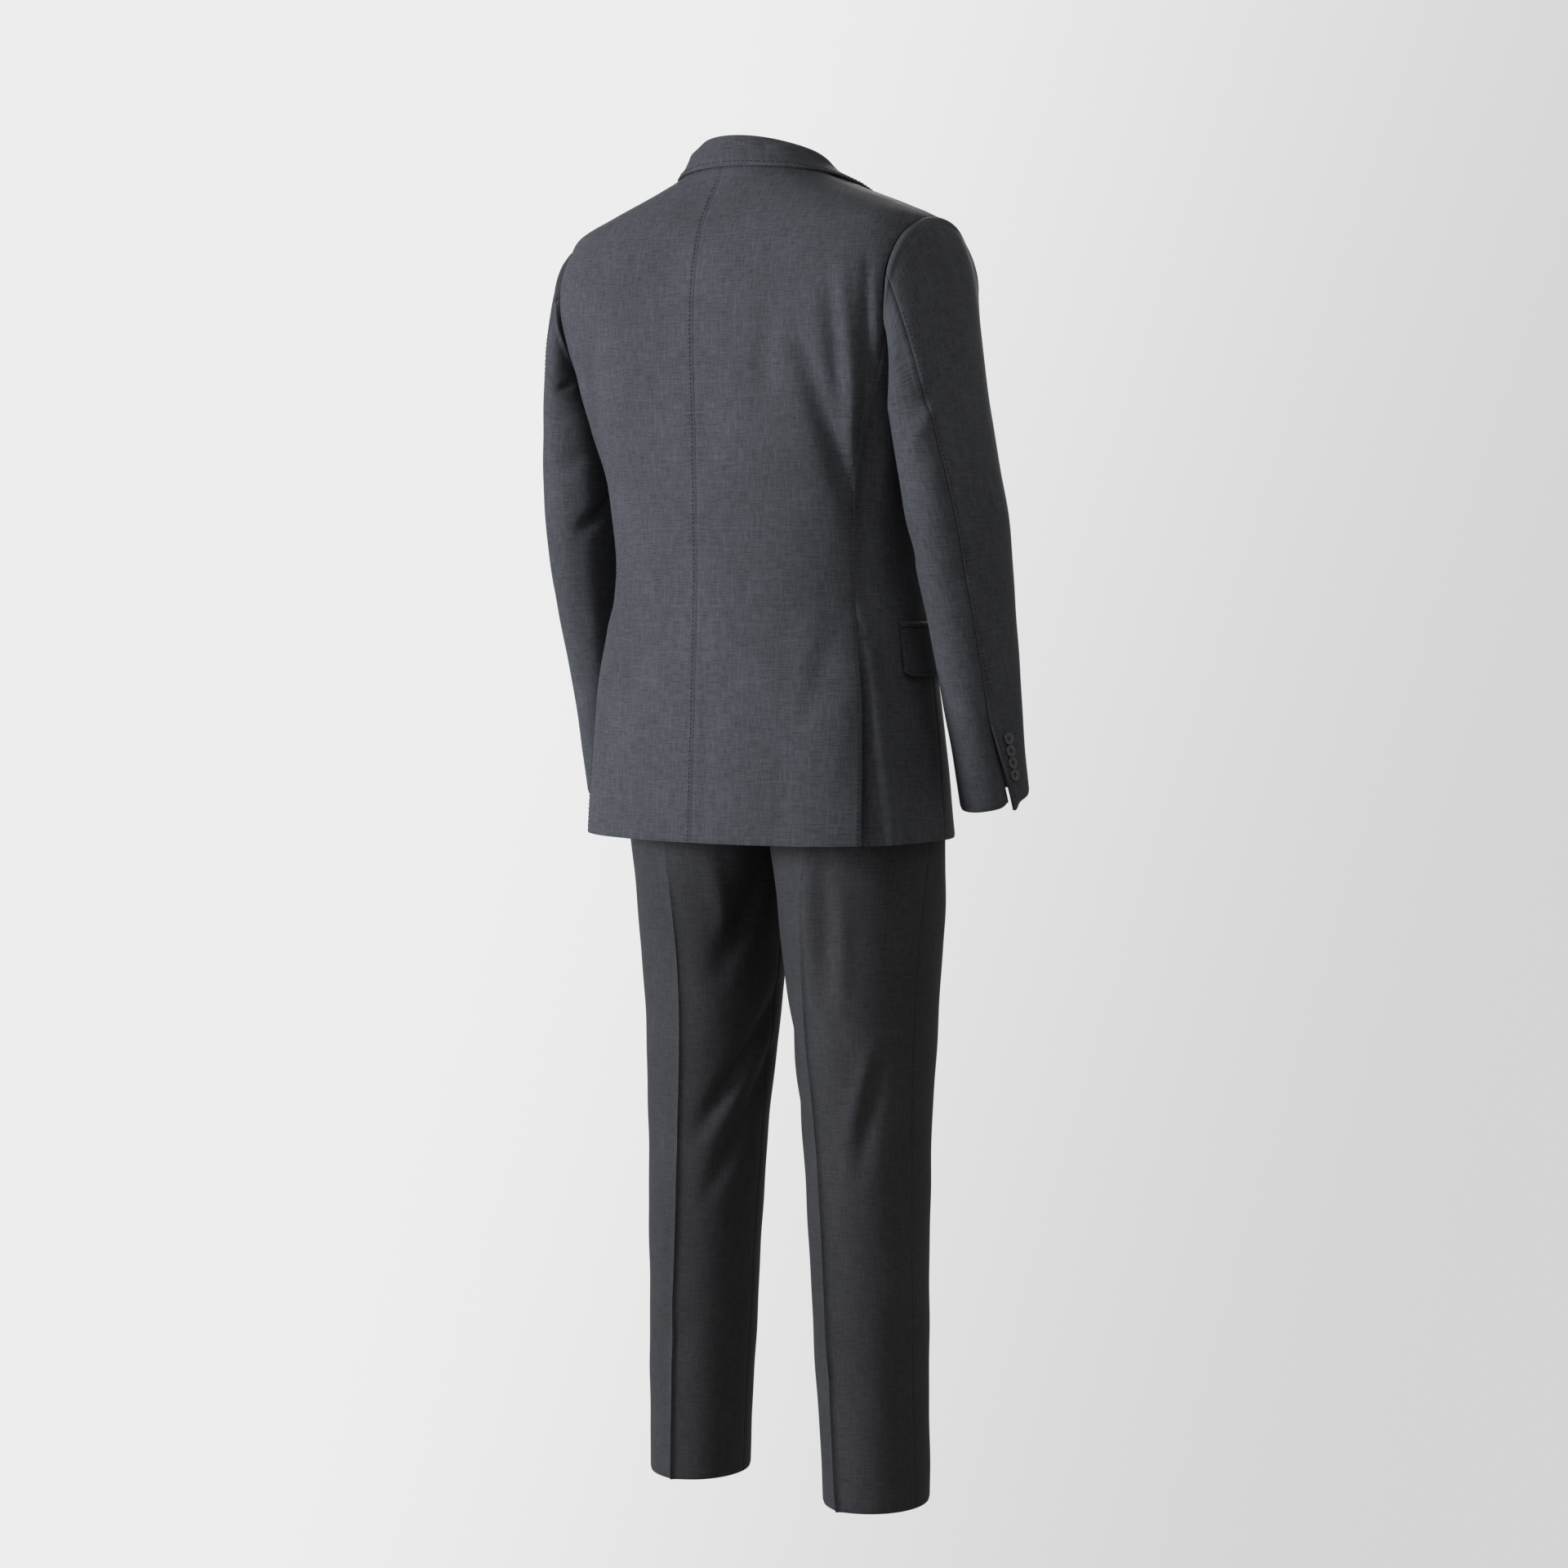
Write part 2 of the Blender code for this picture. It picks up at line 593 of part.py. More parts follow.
def sleeve_point(turn, share):
    """A point on a left sleeve: share runs from the armhole, 0, to the cuff, 1."""
    head_share = 0.36
    top_ring, cuff_ring = ARM_RINGS[0].z, ARM_RINGS[-1].z
    turn, share = np.broadcast_arrays(np.asarray(turn, float), np.asarray(share, float))
    t = np.clip(share / head_share, 0, 1)[..., None]
    start = armhole(turn) + np.array([2 * SEAM_GAP, 0, 0])
    end = arm_ring(turn, np.full(turn.shape, top_ring))
    after = arm_ring(turn, np.full(turn.shape, top_ring - 0.01))
    upness = np.sin(np.radians(turn))
    drop = np.radians(48 - 38 * upness)
    span = np.linalg.norm(end - start, axis=-1)
    lead = np.stack([np.cos(drop), 0.25 * np.cos(np.radians(turn)), -np.sin(drop)], axis=-1)
    lead = lead * (span * (0.36 + 0.06 * upness))[..., None]
    tail = unit(after - end) * (span * 1.05)[..., None]
    head = (
        (2 * t**3 - 3 * t**2 + 1) * start
        + (t**3 - 2 * t**2 + t) * lead
        + (3 * t**2 - 2 * t**3) * end
        + (t**3 - t**2) * tail
    )
    down = np.clip((share - head_share) / (1 - head_share), 0, 1)
    arm = arm_ring(turn, top_ring + (cuff_ring - top_ring) * down)
    return np.where((share <= head_share)[..., None], head, arm)


def sleeve_panel(is_top, columns, rows=21):
    """Outer points and normals of one half of a left sleeve."""
    shares = np.linspace(0, 1, rows)[:, None] ** 1.12
    gap = math.degrees(SEAM_GAP / 0.042)
    hind = HIND_SEAM_TURN + CUFF_VENT_TURN * eased(shares, CUFF_VENT_SHARE, 1.0)
    first, last = hind + gap, FOREARM_SEAM_TURN - gap + 0 * shares
    if not is_top:
        first, last = FOREARM_SEAM_TURN + gap + 0 * shares, 360 + hind - gap
    turns = first + (last - first) * np.linspace(0, 1, columns)[None, :]
    points = sleeve_point(turns, shares)
    step = 0.5
    beside = sleeve_point(turns + step, shares) - sleeve_point(turns - step, shares)
    below = sleeve_point(turns, np.minimum(shares + 0.01, 1)) - sleeve_point(
        turns, np.maximum(shares - 0.01, 0)
    )
    normals = unit(np.cross(beside, below))
    outer = sleeve_point(np.array(90.0), np.array(0.6)) - sleeve_point(np.array(270.0), np.array(0.6))
    probe = unit(np.cross(
        sleeve_point(np.array(89.0), np.array(0.6)) - sleeve_point(np.array(91.0), np.array(0.6)),
        sleeve_point(np.array(90.0), np.array(0.61)) - sleeve_point(np.array(90.0), np.array(0.59)),
    ))
    if probe @ outer > 0:
        normals = -normals
    lifted = BODY.lifted(points, 0.0016)
    keep = 1 - eased(shares, 0.0, 0.03)
    points = points * keep[..., None] + lifted * (1 - keep[..., None])
    return points, normals


def sleeve_halves():
    """The top sleeve, which carries the buttons, and the under sleeve."""
    return sleeve_panel(True, 12), sleeve_panel(False, 9)


# Trousers


def leg_ring(turn, z):
    """The point of the left leg's ring at a turn from its back, towards +X."""
    stations = [ring.z for ring in LEG_RINGS]

    def read(name):
        return smooth_at(stations, [getattr(ring, name) for ring in LEG_RINGS], z)

    angle = np.radians(turn)
    across = read("half_width") * np.sin(angle)
    pressed_edge = read("crease") * np.exp(-np.abs(np.sin(angle)) / 0.22)
    along = read("half_depth") * np.cos(angle) + np.sign(np.cos(angle)) * pressed_edge
    toe = np.radians(read("toe_out"))
    x = read("x") + across * np.cos(toe) - along * np.sin(toe)
    y = read("y") + along * np.cos(toe) + across * np.sin(toe)
    return np.stack(np.broadcast_arrays(x, y, z), axis=-1)


def trouser_panel(side, rows=22, columns=9):
    """Outer points and normals of the left trouser back, side 1, or front, side -1."""
    band_z = WAIST_TOP_Z - WAISTBAND_HEIGHT
    leg_rows = 13
    z = np.concatenate(
        [
            np.linspace(TROUSER_HEM_Z, CROTCH_Z, leg_rows, endpoint=False),
            np.linspace(CROTCH_Z, band_z - SEAM_GAP, rows - leg_rows),
        ]
    )[:, None]
    share = np.linspace(0, 1, columns)[None, :]
    legs_z = np.minimum(z, CROTCH_Z)
    gap = 0.22
    if side > 0:
        leg_turn = -90 + gap + (180 - 2 * gap) * share
        seat_turn = 90 * share - gap * share + gap * (1 - share)
    else:
        leg_turn = 270 - gap - (180 - 2 * gap) * share
        seat_turn = 180 - 90 * share + gap * share - gap * (1 - share)
    leg = leg_ring(leg_turn, legs_z)
    leg[..., 2] = z * np.ones_like(share)
    seat = SEAT.point(seat_turn, np.maximum(z, CROTCH_Z))
    seat[..., 2] = leg[..., 2]
    blend = eased(z, CROTCH_Z, SEAT_Z)[..., None] * np.ones(leg.shape)
    points = leg * (1 - blend) + seat * blend
    above = z * np.ones_like(share) >= CROTCH_Z - 1e-9
    points[..., 0] = np.where(above, np.maximum(points[..., 0], SEAM_GAP), points[..., 0])
    centre = np.array([0.097, -0.056, 0.0])
    outward = unit((points - centre) * np.array([1.0, 1.0, 0.0]))
    normals = grid_normals(points, outward)
    return points, normals


def waistband():
    """Outer points and normals of the left half of the waistband."""
    columns, rows = 15, 3
    turns = np.linspace(0.25, 179.75, columns)[None, :]
    z = np.linspace(WAIST_TOP_Z - WAISTBAND_HEIGHT + SEAM_GAP, WAIST_TOP_Z, rows)[:, None]
    points = SEAT.point(turns, z)
    points[..., 0] = np.maximum(points[..., 0], SEAM_GAP)
    return points, SEAT.normals(points)


# Small pieces

FLAP_LENGTH = 0.150
FLAP_HEIGHT = 0.054
FLAP_WALL = 0.0024
FLAP_TOP_Z = -0.513
FLAP_BACK_TURN = 82.0
JET_HEIGHT = 0.005
BUTTON_THICKNESS = 0.0026
SLEEVE_BUTTON_RADIUS = 0.0072
FRONT_BUTTON_RADIUS = 0.0100
SLEEVE_BUTTON_STEP = 0.0136
SLEEVE_BUTTON_TILT = 12.0


def flap_turns(columns):
    """Turns along the flap, so that it is as long as it should be."""
    turns = np.linspace(FLAP_BACK_TURN, FLAP_BACK_TURN + 80, 81)
    line = BODY.point(turns, np.full(81, FLAP_TOP_Z))
    run = np.concatenate([[0], np.cumsum(np.linalg.norm(np.diff(line, axis=0), axis=1))])
    return np.interp(np.linspace(0, FLAP_LENGTH, columns), run, turns)


def pocket_strip(top_z, bottom_z, wall, rows, columns=13, corner=0.0):
    """A strip laid on the body at the pocket's place, with its lower corners drawn up."""
    turns = flap_turns(columns)[None, :]
    share = np.linspace(0, 1, columns)
    round_off = corner * (np.exp(-share * 22) + np.exp(-(1 - share) * 22))
    down = np.linspace(0, 1, rows)[:, None]
    z = top_z + (bottom_z + round_off[None, :] - top_z) * down
    points = BODY.point(turns + 0 * z, z)
    normals = BODY.normals(points)
    return points + normals * (LAID_GAP + wall), normals


def turned(name, profile, centre, facing, segments=20):
    """A round piece turned from radius and height pairs, its axis along facing."""
    angles = np.linspace(0, 2 * math.pi, segments, endpoint=False)
    points = [(0, 0, profile[0][1])]
    for radius, height in profile:
        points += [(radius * math.cos(a), radius * math.sin(a), height) for a in angles]
    points.append((0, 0, profile[-1][1]))
    faces = []
    for step in range(segments):
        after = (step + 1) % segments
        faces.append([0, 1 + after, 1 + step])
        for ring in range(len(profile) - 1):
            low, high = 1 + ring * segments, 1 + (ring + 1) * segments
            faces.append([low + step, low + after, high + after, high + step])
        last = 1 + (len(profile) - 1) * segments
        faces.append([last + step, last + after, len(points) - 1])
    turn = Vector((0, 0, 1)).rotation_difference(Vector(facing)).to_matrix().to_4x4()
    place = Matrix.Translation(Vector(centre)) @ turn
    placed = [tuple(place @ Vector(point)) for point in points]
    return add_mesh(name, placed, faces, "button")


def button(name, radius, centre, facing):
    """A sewing button with a raised rim round a dished middle."""
    half = BUTTON_THICKNESS / 2
    profile = (
        (radius * 0.80, -half),
        (radius, -half * 0.2),
        (radius, half * 0.5),
        (radius * 0.90, half),
        (radius * 0.74, half * 0.9),
        (radius * 0.60, half * 0.45),
    )
    return turned(name, profile, centre, facing)


def front_buttons():
    stand_off = JACKET_WALL + 2 * LAID_GAP + BUTTON_THICKNESS / 2
    for number, z in enumerate(FRONT_BUTTON_Z, 1):
        point = BODY.over(np.array(0.0), np.array(z), -1)
        normal = BODY.normals(point)
        button(f"front_button_{number}", FRONT_BUTTON_RADIUS, point + normal * stand_off, normal)


def sleeve_buttons():
    """Four buttons up each cuff, each lapped over the next one down."""
    tilt = math.radians(SLEEVE_BUTTON_TILT)
    stand_off = SLEEVE_BUTTON_RADIUS * math.sin(tilt) + BUTTON_THICKNESS / 2
    sleeve_length = 0.66
    for number in range(4):
        share = 0.952 - (3 - number) * SLEEVE_BUTTON_STEP / sleeve_length
        turn = HIND_SEAM_TURN + 23.0
        here = sleeve_point(np.array(turn), np.array(share))
        beside = sleeve_point(np.array(turn + 1), np.array(share)) - here
        down = unit(sleeve_point(np.array(turn), np.array(share + 0.01)) - here)
        normal = unit(np.cross(beside, down))
        if normal[0] < 0:
            normal = -normal
        facing = normal * math.cos(tilt) - down * math.sin(tilt)
        centre = here + normal * stand_off
        button(f"sleeve_button_left_{number + 1}", SLEEVE_BUTTON_RADIUS, centre, facing)
        flip = np.array([-1.0, 1.0, 1.0])
        button(f"sleeve_button_right_{number + 1}", SLEEVE_BUTTON_RADIUS, centre * flip, facing * flip)


def both_sides(name, patch, wall, colour="cloth"):
    points, normals = patch
    cloth(f"{name}_left", points, normals, wall, colour)
    cloth(f"{name}_right", mirrored(points), mirrored(normals), wall, colour)


def jacket():
    both_sides("jacket_back", back_panel(), JACKET_WALL)
    both_sides("jacket_side", side_panel(), JACKET_WALL)
    points, normals = front_panel(overlaps=True)
    cloth("jacket_front_left", points, normals, JACKET_WALL)
    points, normals = front_panel(overlaps=False)
    cloth("jacket_front_right", mirrored(points), mirrored(normals), JACKET_WALL)
    points, normals = lapel(0.0)
    cloth("lapel_left", points, normals, JACKET_WALL)
    points, normals = lapel(UNDER_LAPEL_START)
    cloth("lapel_right", mirrored(points), mirrored(normals), JACKET_WALL)
    points, normals = collar()
    cloth("collar", points, normals, JACKET_WALL)
    top, under = sleeve_halves()
    both_sides("sleeve_top", top, JACKET_WALL)
    both_sides("sleeve_under", under, JACKET_WALL)
    flap = pocket_strip(FLAP_TOP_Z, FLAP_TOP_Z - FLAP_HEIGHT, FLAP_WALL, rows=4, corner=0.006)
    both_sides("pocket_flap", flap, FLAP_WALL)
    jet = pocket_strip(FLAP_TOP_Z + LAID_GAP + JET_HEIGHT, FLAP_TOP_Z + LAID_GAP, 0.0016, rows=2)
    both_sides("pocket_jet", jet, 0.0016)
    front_buttons()
    sleeve_buttons()


def trousers():
    both_sides("trouser_back", trouser_panel(1), TROUSER_WALL, "trouser_cloth")
    both_sides("trouser_front", trouser_panel(-1), TROUSER_WALL, "trouser_cloth")
    both_sides("waistband", waistband(), TROUSER_WALL, "trouser_cloth")


for old in list(bpy.data.objects):
    bpy.data.objects.remove(old)
jacket()
trousers()
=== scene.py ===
# %% [markdown]
# # A worn two-piece suit
# The imported solids already have the suit's cut: backs, side panels, fronts, two-piece sleeves,
# collar, lapels, pockets, legs and buttons. This file lays finer cloth in the same places,
# with soft folds, a woven finish, stitching and real buttons. Loading the solids comes first.

# %% Load the solids
import math
from collections import namedtuple

import bpy
import numpy as np
from mathutils import Matrix, Vector


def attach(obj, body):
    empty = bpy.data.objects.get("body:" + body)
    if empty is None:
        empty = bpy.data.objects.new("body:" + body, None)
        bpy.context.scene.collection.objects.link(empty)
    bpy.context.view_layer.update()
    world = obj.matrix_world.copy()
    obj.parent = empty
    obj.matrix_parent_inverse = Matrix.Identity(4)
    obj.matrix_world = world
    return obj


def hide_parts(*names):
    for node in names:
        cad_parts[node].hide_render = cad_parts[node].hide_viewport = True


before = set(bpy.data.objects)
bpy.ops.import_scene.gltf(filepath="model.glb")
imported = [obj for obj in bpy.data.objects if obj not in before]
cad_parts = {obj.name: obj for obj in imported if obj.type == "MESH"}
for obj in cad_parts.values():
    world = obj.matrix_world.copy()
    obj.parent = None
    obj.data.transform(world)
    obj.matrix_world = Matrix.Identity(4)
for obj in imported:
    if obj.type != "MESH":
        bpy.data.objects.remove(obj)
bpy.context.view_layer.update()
print("solids", len(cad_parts))


def deselect():
    bpy.ops.object.select_all(action="DESELECT")


deselect()

# %% [markdown]
# ## Sizes of the body form
# A tailor thinks of a jacket as level rounds at the hem, waist, chest and shoulder. Each row
# here is one such round: how wide it is, how far it reaches back and forward, and how boxy it
# is. A smooth curve is read through the rows, so a few numbers make the whole form.

# %% Tables of the jacket
JACKET_WALL = 0.0020
TROUSER_WALL = 0.0016
SEAM_GAP = 0.0003
LAID_GAP = 0.0007
ON_CLOTH = JACKET_WALL + LAID_GAP
HEM_Z = -0.745
NAPE_Z = -0.007
NECK_POINT_Z = -0.020
SHOULDER_END_Z = -0.080
SIDE_FRONT_SEAM_Y = -0.068
VENT_TOP_Z = -0.515
VENT_UNDERLAP = 0.026
VENT_LIFT = 0.0080
VENT_EASE = 0.03
LAP_FROM_X = 0.10
LAP_FULL_X = 0.135
FRONT_OVERLAP = 0.018
BREAK_Z = -0.405
FRONT_LAP_TOP_Z = (-0.34, -0.27)
LAPEL_LAP_TOP_Z = (-0.37, -0.30)
UNDER_LAPEL_START = 0.13
SIDE_SHARE = 0.72

ARMHOLE_MIDDLE_Y = -0.008
ARMHOLE_MIDDLE_Z = -0.157
ARMHOLE_HALF_DEPTH = 0.085
ARMHOLE_HALF_HEIGHT = ARMHOLE_MIDDLE_Z * -1 + SHOULDER_END_Z
BACK_SEAM_TURN = -30.0
FRONT_SEAM_TURN = 225.0
BESIDE_SPINE_TURN = 12.0


def table(fields, *rows):
    """Rows of numbers whose places have names."""
    row_kind = namedtuple("Row", fields)
    return [row_kind(*row) for row in rows]


RING_FIELDS = "z half_width back front power"
BODY_RINGS = table(
    RING_FIELDS,
    (-0.745, 0.2060, 0.1245, -0.193, 2.35),
    (-0.670, 0.2000, 0.1210, -0.185, 2.35),
    (-0.600, 0.1940, 0.1180, -0.176, 2.35),
    (-0.520, 0.1870, 0.1140, -0.166, 2.30),
    (-0.440, 0.1800, 0.1125, -0.160, 2.25),
    (-0.370, 0.1870, 0.1140, -0.160, 2.40),
    (-0.310, 0.1985, 0.1158, -0.160, 2.80),
    (-0.250, 0.2100, 0.1180, -0.158, 3.30),
    (-0.200, 0.2230, 0.1195, -0.152, 3.70),
    (-0.160, 0.2300, 0.1185, -0.145, 3.90),
    (-0.127, 0.2325, 0.1140, -0.135, 3.60),
    (-0.100, 0.2300, 0.1075, -0.121, 3.00),
    (-0.080, 0.2220, 0.1000, -0.107, 2.60),
    (-0.061, 0.1840, 0.0895, -0.093, 2.30),
    (-0.040, 0.1300, 0.0760, -0.081, 2.20),
    (-0.020, 0.0880, 0.0650, -0.072, 2.10),
    (0.002, 0.0760, 0.0550, -0.065, 2.00),
)

SIDE_BACK_SEAM = table(
    "z x",
    (-0.745, 0.1755),
    (-0.600, 0.1700),
    (-0.520, 0.1645),
    (-0.440, 0.1600),
    (-0.365, 0.1660),
    (-0.310, 0.1800),
    (-0.250, 0.1980),
)

FRONT_EDGE = table(
    "z x",
    (-0.745, 0.0620),
    (-0.725, 0.0350),
    (-0.690, 0.0120),
    (-0.640, -0.0060),
    (-0.560, -0.0160),
    (-0.500, -FRONT_OVERLAP),
    (BREAK_Z, -0.0160),
    (-0.380, -0.0090),
    (-0.300, 0.0150),
    (-0.200, 0.0420),
    (-0.100, 0.0690),
    (-0.055, 0.0805),
    (NECK_POINT_Z, 0.0865),
)

LAPEL = table(
    "roll_z edge_x edge_z",
    (-0.400, -0.0100, -0.402),
    (-0.370, 0.0230, -0.370),
    (-0.320, 0.0600, -0.318),
    (-0.250, 0.0960, -0.245),
    (-0.180, 0.1230, -0.172),
    (-0.115, 0.1410, -0.127),
    (-0.061, 0.1460, -0.105),
)

COLLAR = table(
    "seam fold edge",
    ((0.000, 0.0560, -0.007), (0.000, 0.0560, 0.0160), (0.000, 0.0690, -0.0165)),
    ((0.040, 0.0480, -0.009), (0.031, 0.0475, 0.0140), (0.047, 0.0590, -0.0185)),
    ((0.070, 0.0260, -0.014), (0.055, 0.0245, 0.0080), (0.084, 0.0310, -0.0230)),
    ((0.082, -0.0060, -0.018), (0.066, -0.0080, -0.0010), (0.104, -0.0080, -0.0310)),
    ((0.080, -0.0400, -0.032), (0.0695, -0.0420, -0.014), (0.119, -0.0470, -0.050)),
    ((0.072, -0.0800, -0.069), (0.069, -0.0800, -0.053), (0.128, -0.0840, -0.086)),
)

# %% [markdown]
# ## The form under the cloth
# Between an ellipse and a rectangle there is a family of rounded boxes, set by one power.
# A form built from them can be asked for a point at any turn and height, and for the way
# outwards there. Modelling with functions like this keeps every panel on one shared shape, so
# neighbouring cloth meets at its seams.

# %% The form
def bridge(t, start, lead, end, tail):
    """A smooth way from start, at t = 0, to end, at 1, that leaves by lead and arrives by tail."""
    return (
        (2 * t**3 - 3 * t**2 + 1) * start
        + (t**3 - 2 * t**2 + t) * lead
        + (3 * t**2 - 2 * t**3) * end
        + (t**3 - t**2) * tail
    )


def smooth_at(stations, values, at):
    """Reads a smooth curve through these values at one or many stations."""
    stations, values = np.asarray(stations, float), np.asarray(values, float)
    slopes = np.gradient(values, stations)
    row = np.clip(np.searchsorted(stations, at) - 1, 0, len(stations) - 2)
    step = stations[row + 1] - stations[row]
    t = (at - stations[row]) / step
    return bridge(t, values[row], step * slopes[row], values[row + 1], step * slopes[row + 1])


def read_rows(rows, name, z):
    """Reads one named place of a table's rows as a smooth curve over z."""
    return smooth_at([row.z for row in rows], [getattr(row, name) for row in rows], z)


def eased(value, low, high):
    """Runs smoothly from 0 at low to 1 at high."""
    t = np.clip((np.asarray(value, float) - low) / (high - low), 0, 1)
    return t * t * (3 - 2 * t)


def unit(vectors):
    return vectors / np.linalg.norm(vectors, axis=-1, keepdims=True)


def runs(points, axis=0):
    """How far each point lies along its line of points."""
    steps = np.linalg.norm(np.diff(points, axis=axis), axis=-1)
    return np.insert(steps.cumsum(axis=axis), 0, 0, axis=axis)


def along_line(at, run, line):
    """The points this far along a line, whose own points lie at these runs."""
    return np.stack([np.interp(at, run, line[:, axis]) for axis in range(3)], axis=-1)


class Form:
    """A closed form made of level rings, each a rounded box between an ellipse and a rectangle."""

    def __init__(self, rings):
        self.rings = rings

    def read(self, name, z):
        return read_rows(self.rings, name, z)

    def sizes(self, z):
        """Half width, middle y, half depth and power of the ring at this height."""
        back, front = self.read("back", z), self.read("front", z)
        return self.read("half_width", z), (back + front) / 2, (back - front) / 2, self.read("power", z)

    def point(self, turn, z):
        """The point at a turn from the back, in degrees, towards +X."""
        half_width, middle, half_depth, power = self.sizes(z)
        across, along = np.sin(np.radians(turn)), np.cos(np.radians(turn))
        x = half_width * np.sign(across) * np.abs(across) ** (2 / power)
        y = middle + half_depth * np.sign(along) * np.abs(along) ** (2 / power)
        return np.stack(np.broadcast_arrays(x, y, z), axis=-1)

    def over(self, x, z, side):
        """The point at x and z on the back, side 1, or on the front, side -1."""
        half_width, middle, half_depth, power = self.sizes(z)
        share = np.clip(np.abs(x) / half_width, 0, 1)
        y = middle + side * half_depth * (1 - share**power) ** (1 / power)
        return np.stack(np.broadcast_arrays(x, y, z), axis=-1)

    def side_x(self, y, z):
        half_width, middle, half_depth, power = self.sizes(z)
        share = np.clip(np.abs(y - middle) / half_depth, 0, 1)
        return half_width * (1 - share**power) ** (1 / power)

    def turn_of(self, points):
        half_width, middle, half_depth, power = self.sizes(points[..., 2])
        across, along = points[..., 0] / half_width, (points[..., 1] - middle) / half_depth
        across, along = (np.sign(share) * np.abs(share) ** (power / 2) for share in (across, along))
        turn = np.degrees(np.arctan2(across, along))
        return np.where(turn < -90, turn + 360, turn)

    def level(self, points):
        half_width, middle, half_depth, power = self.sizes(points[..., 2])
        across = np.abs(points[..., 0]) / half_width
        along = np.abs(points[..., 1] - middle) / half_depth
        return across**power + along**power

    def slope(self, points):
        step = 1e-4
        moves = np.eye(3) * step
        return np.stack(
            [(self.level(points + move) - self.level(points - move)) / (2 * step) for move in moves],
            axis=-1,
        )

    def normals(self, points):
        return unit(self.slope(points))

    def lifted(self, points, height):
        """Points that lie lower than this over the form are moved out to it."""
        for _ in range(3):
            slope = self.slope(points)
            size = np.linalg.norm(slope, axis=-1)
            over = (self.level(points) - 1) / size
            points = points + unit(slope) * np.maximum(height - over, 0)[..., None]
        return points

    def laid(self, points, height):
        """Points moved along the slope to lie exactly this high over the form."""
        for _ in range(4):
            slope = self.slope(points)
            over = (self.level(points) - 1) / np.linalg.norm(slope, axis=-1)
            points = points + unit(slope) * (height - over)[..., None]
        return points


BODY = Form(BODY_RINGS)
print("half chest", round(float(BODY.read("half_width", -0.2)), 3))

# %% [markdown]
# ## Folds
# Worn wool shows long, soft folds: a trough beside a ridge, deep in the middle and gone at
# both ends. Each row gives one fold in millimetres: its two ends in space, half its width and
# its depth, where a negative depth is a ridge. They are set one by one, because a tailored suit
# has few folds and each has its own place. The other side gets its own, weaker ones.

# %% Fold tables
Fold = namedtuple("Fold", "start end half_width depth")
OFF_WEIGHT = 0.10


def folds(*rows):
    """Folds from rows in millimetres."""
    return [Fold(*(np.array(value) / 1000 for value in row)) for row in rows]


BACK_FOLDS = folds(
    ((-130, 110, -195), (-170, 40, -430), 13, 9.5),
    ((-168, 106, -150), (-170, 83, -300), 11, 6.2),
    ((-180, 103, -130), (-168, 62, -350), 9, -5.5),
    ((-203, 89, -125), (-187, 72, -260), 5.5, 4.5),
    ((-208, 86, -150), (-202, 68, -235), 6, -3),
    ((-198, 72, -225), (-170, 56, -350), 7.5, 6),
    ((-100, 117, -160), (-83, 114, -290), 13, 3),
    ((-150, 74, -515), (-122, 100, -640), 13, 2.6),
    ((-168, 62, -545), (-150, 85, -700), 14, -1.8),
    ((-17, 118, -560), (-17, 124, -760), 8, 1.4),
    ((132, 110, -180), (170, 56, -380), 17, 4.8),
    ((158, 104, -165), (184, 70, -300), 12, -2.2),
    ((196, 92, -160), (194, 66, -300), 10, 3.2),
    ((145, 78, -540), (120, 102, -690), 15, 2),
    ((-60, 100, -60), (60, 100, -63), 9, 0.8),
)
SIDE_FOLDS = folds(
    ((-171, 47, -500), (-200, 21, -880), 13.5, -13.5),
    ((-194, 57, -262), (-168, 36, -480), 15, 10.5),
    ((194, 57, -265), (168, 36, -470), 14, 6),
    ((-184, 0, -560), (-200, -10, -760), 14, 2),
    ((-180, 40, -380), (-182, -40, -430), 11, 1.8),
    ((176, 38, -515), (196, 28, -800), 9.5, -4.2),
    ((182, 45, -390), (182, -40, -425), 11, 2),
    ((186, 0, -570), (200, -15, -760), 14, 1.6),
)
FRONT_FOLDS = folds(
    ((30, -160, -425), (130, -120, -350), 11, 2.2),
    ((35, -160, -430), (150, -110, -460), 12, 2),
    ((-35, -160, -425), (-125, -120, -355), 11, 2),
    ((-35, -160, -432), (-145, -110, -470), 12, 2.2),
    ((195, -80, -150), (180, -105, -300), 11, 3.4),
    ((-195, -80, -155), (-182, -105, -310), 11, 3),
    ((110, -150, -600), (120, -165, -760), 16, 1.8),
    ((-105, -150, -590), (-118, -165, -760), 16, 2),
)
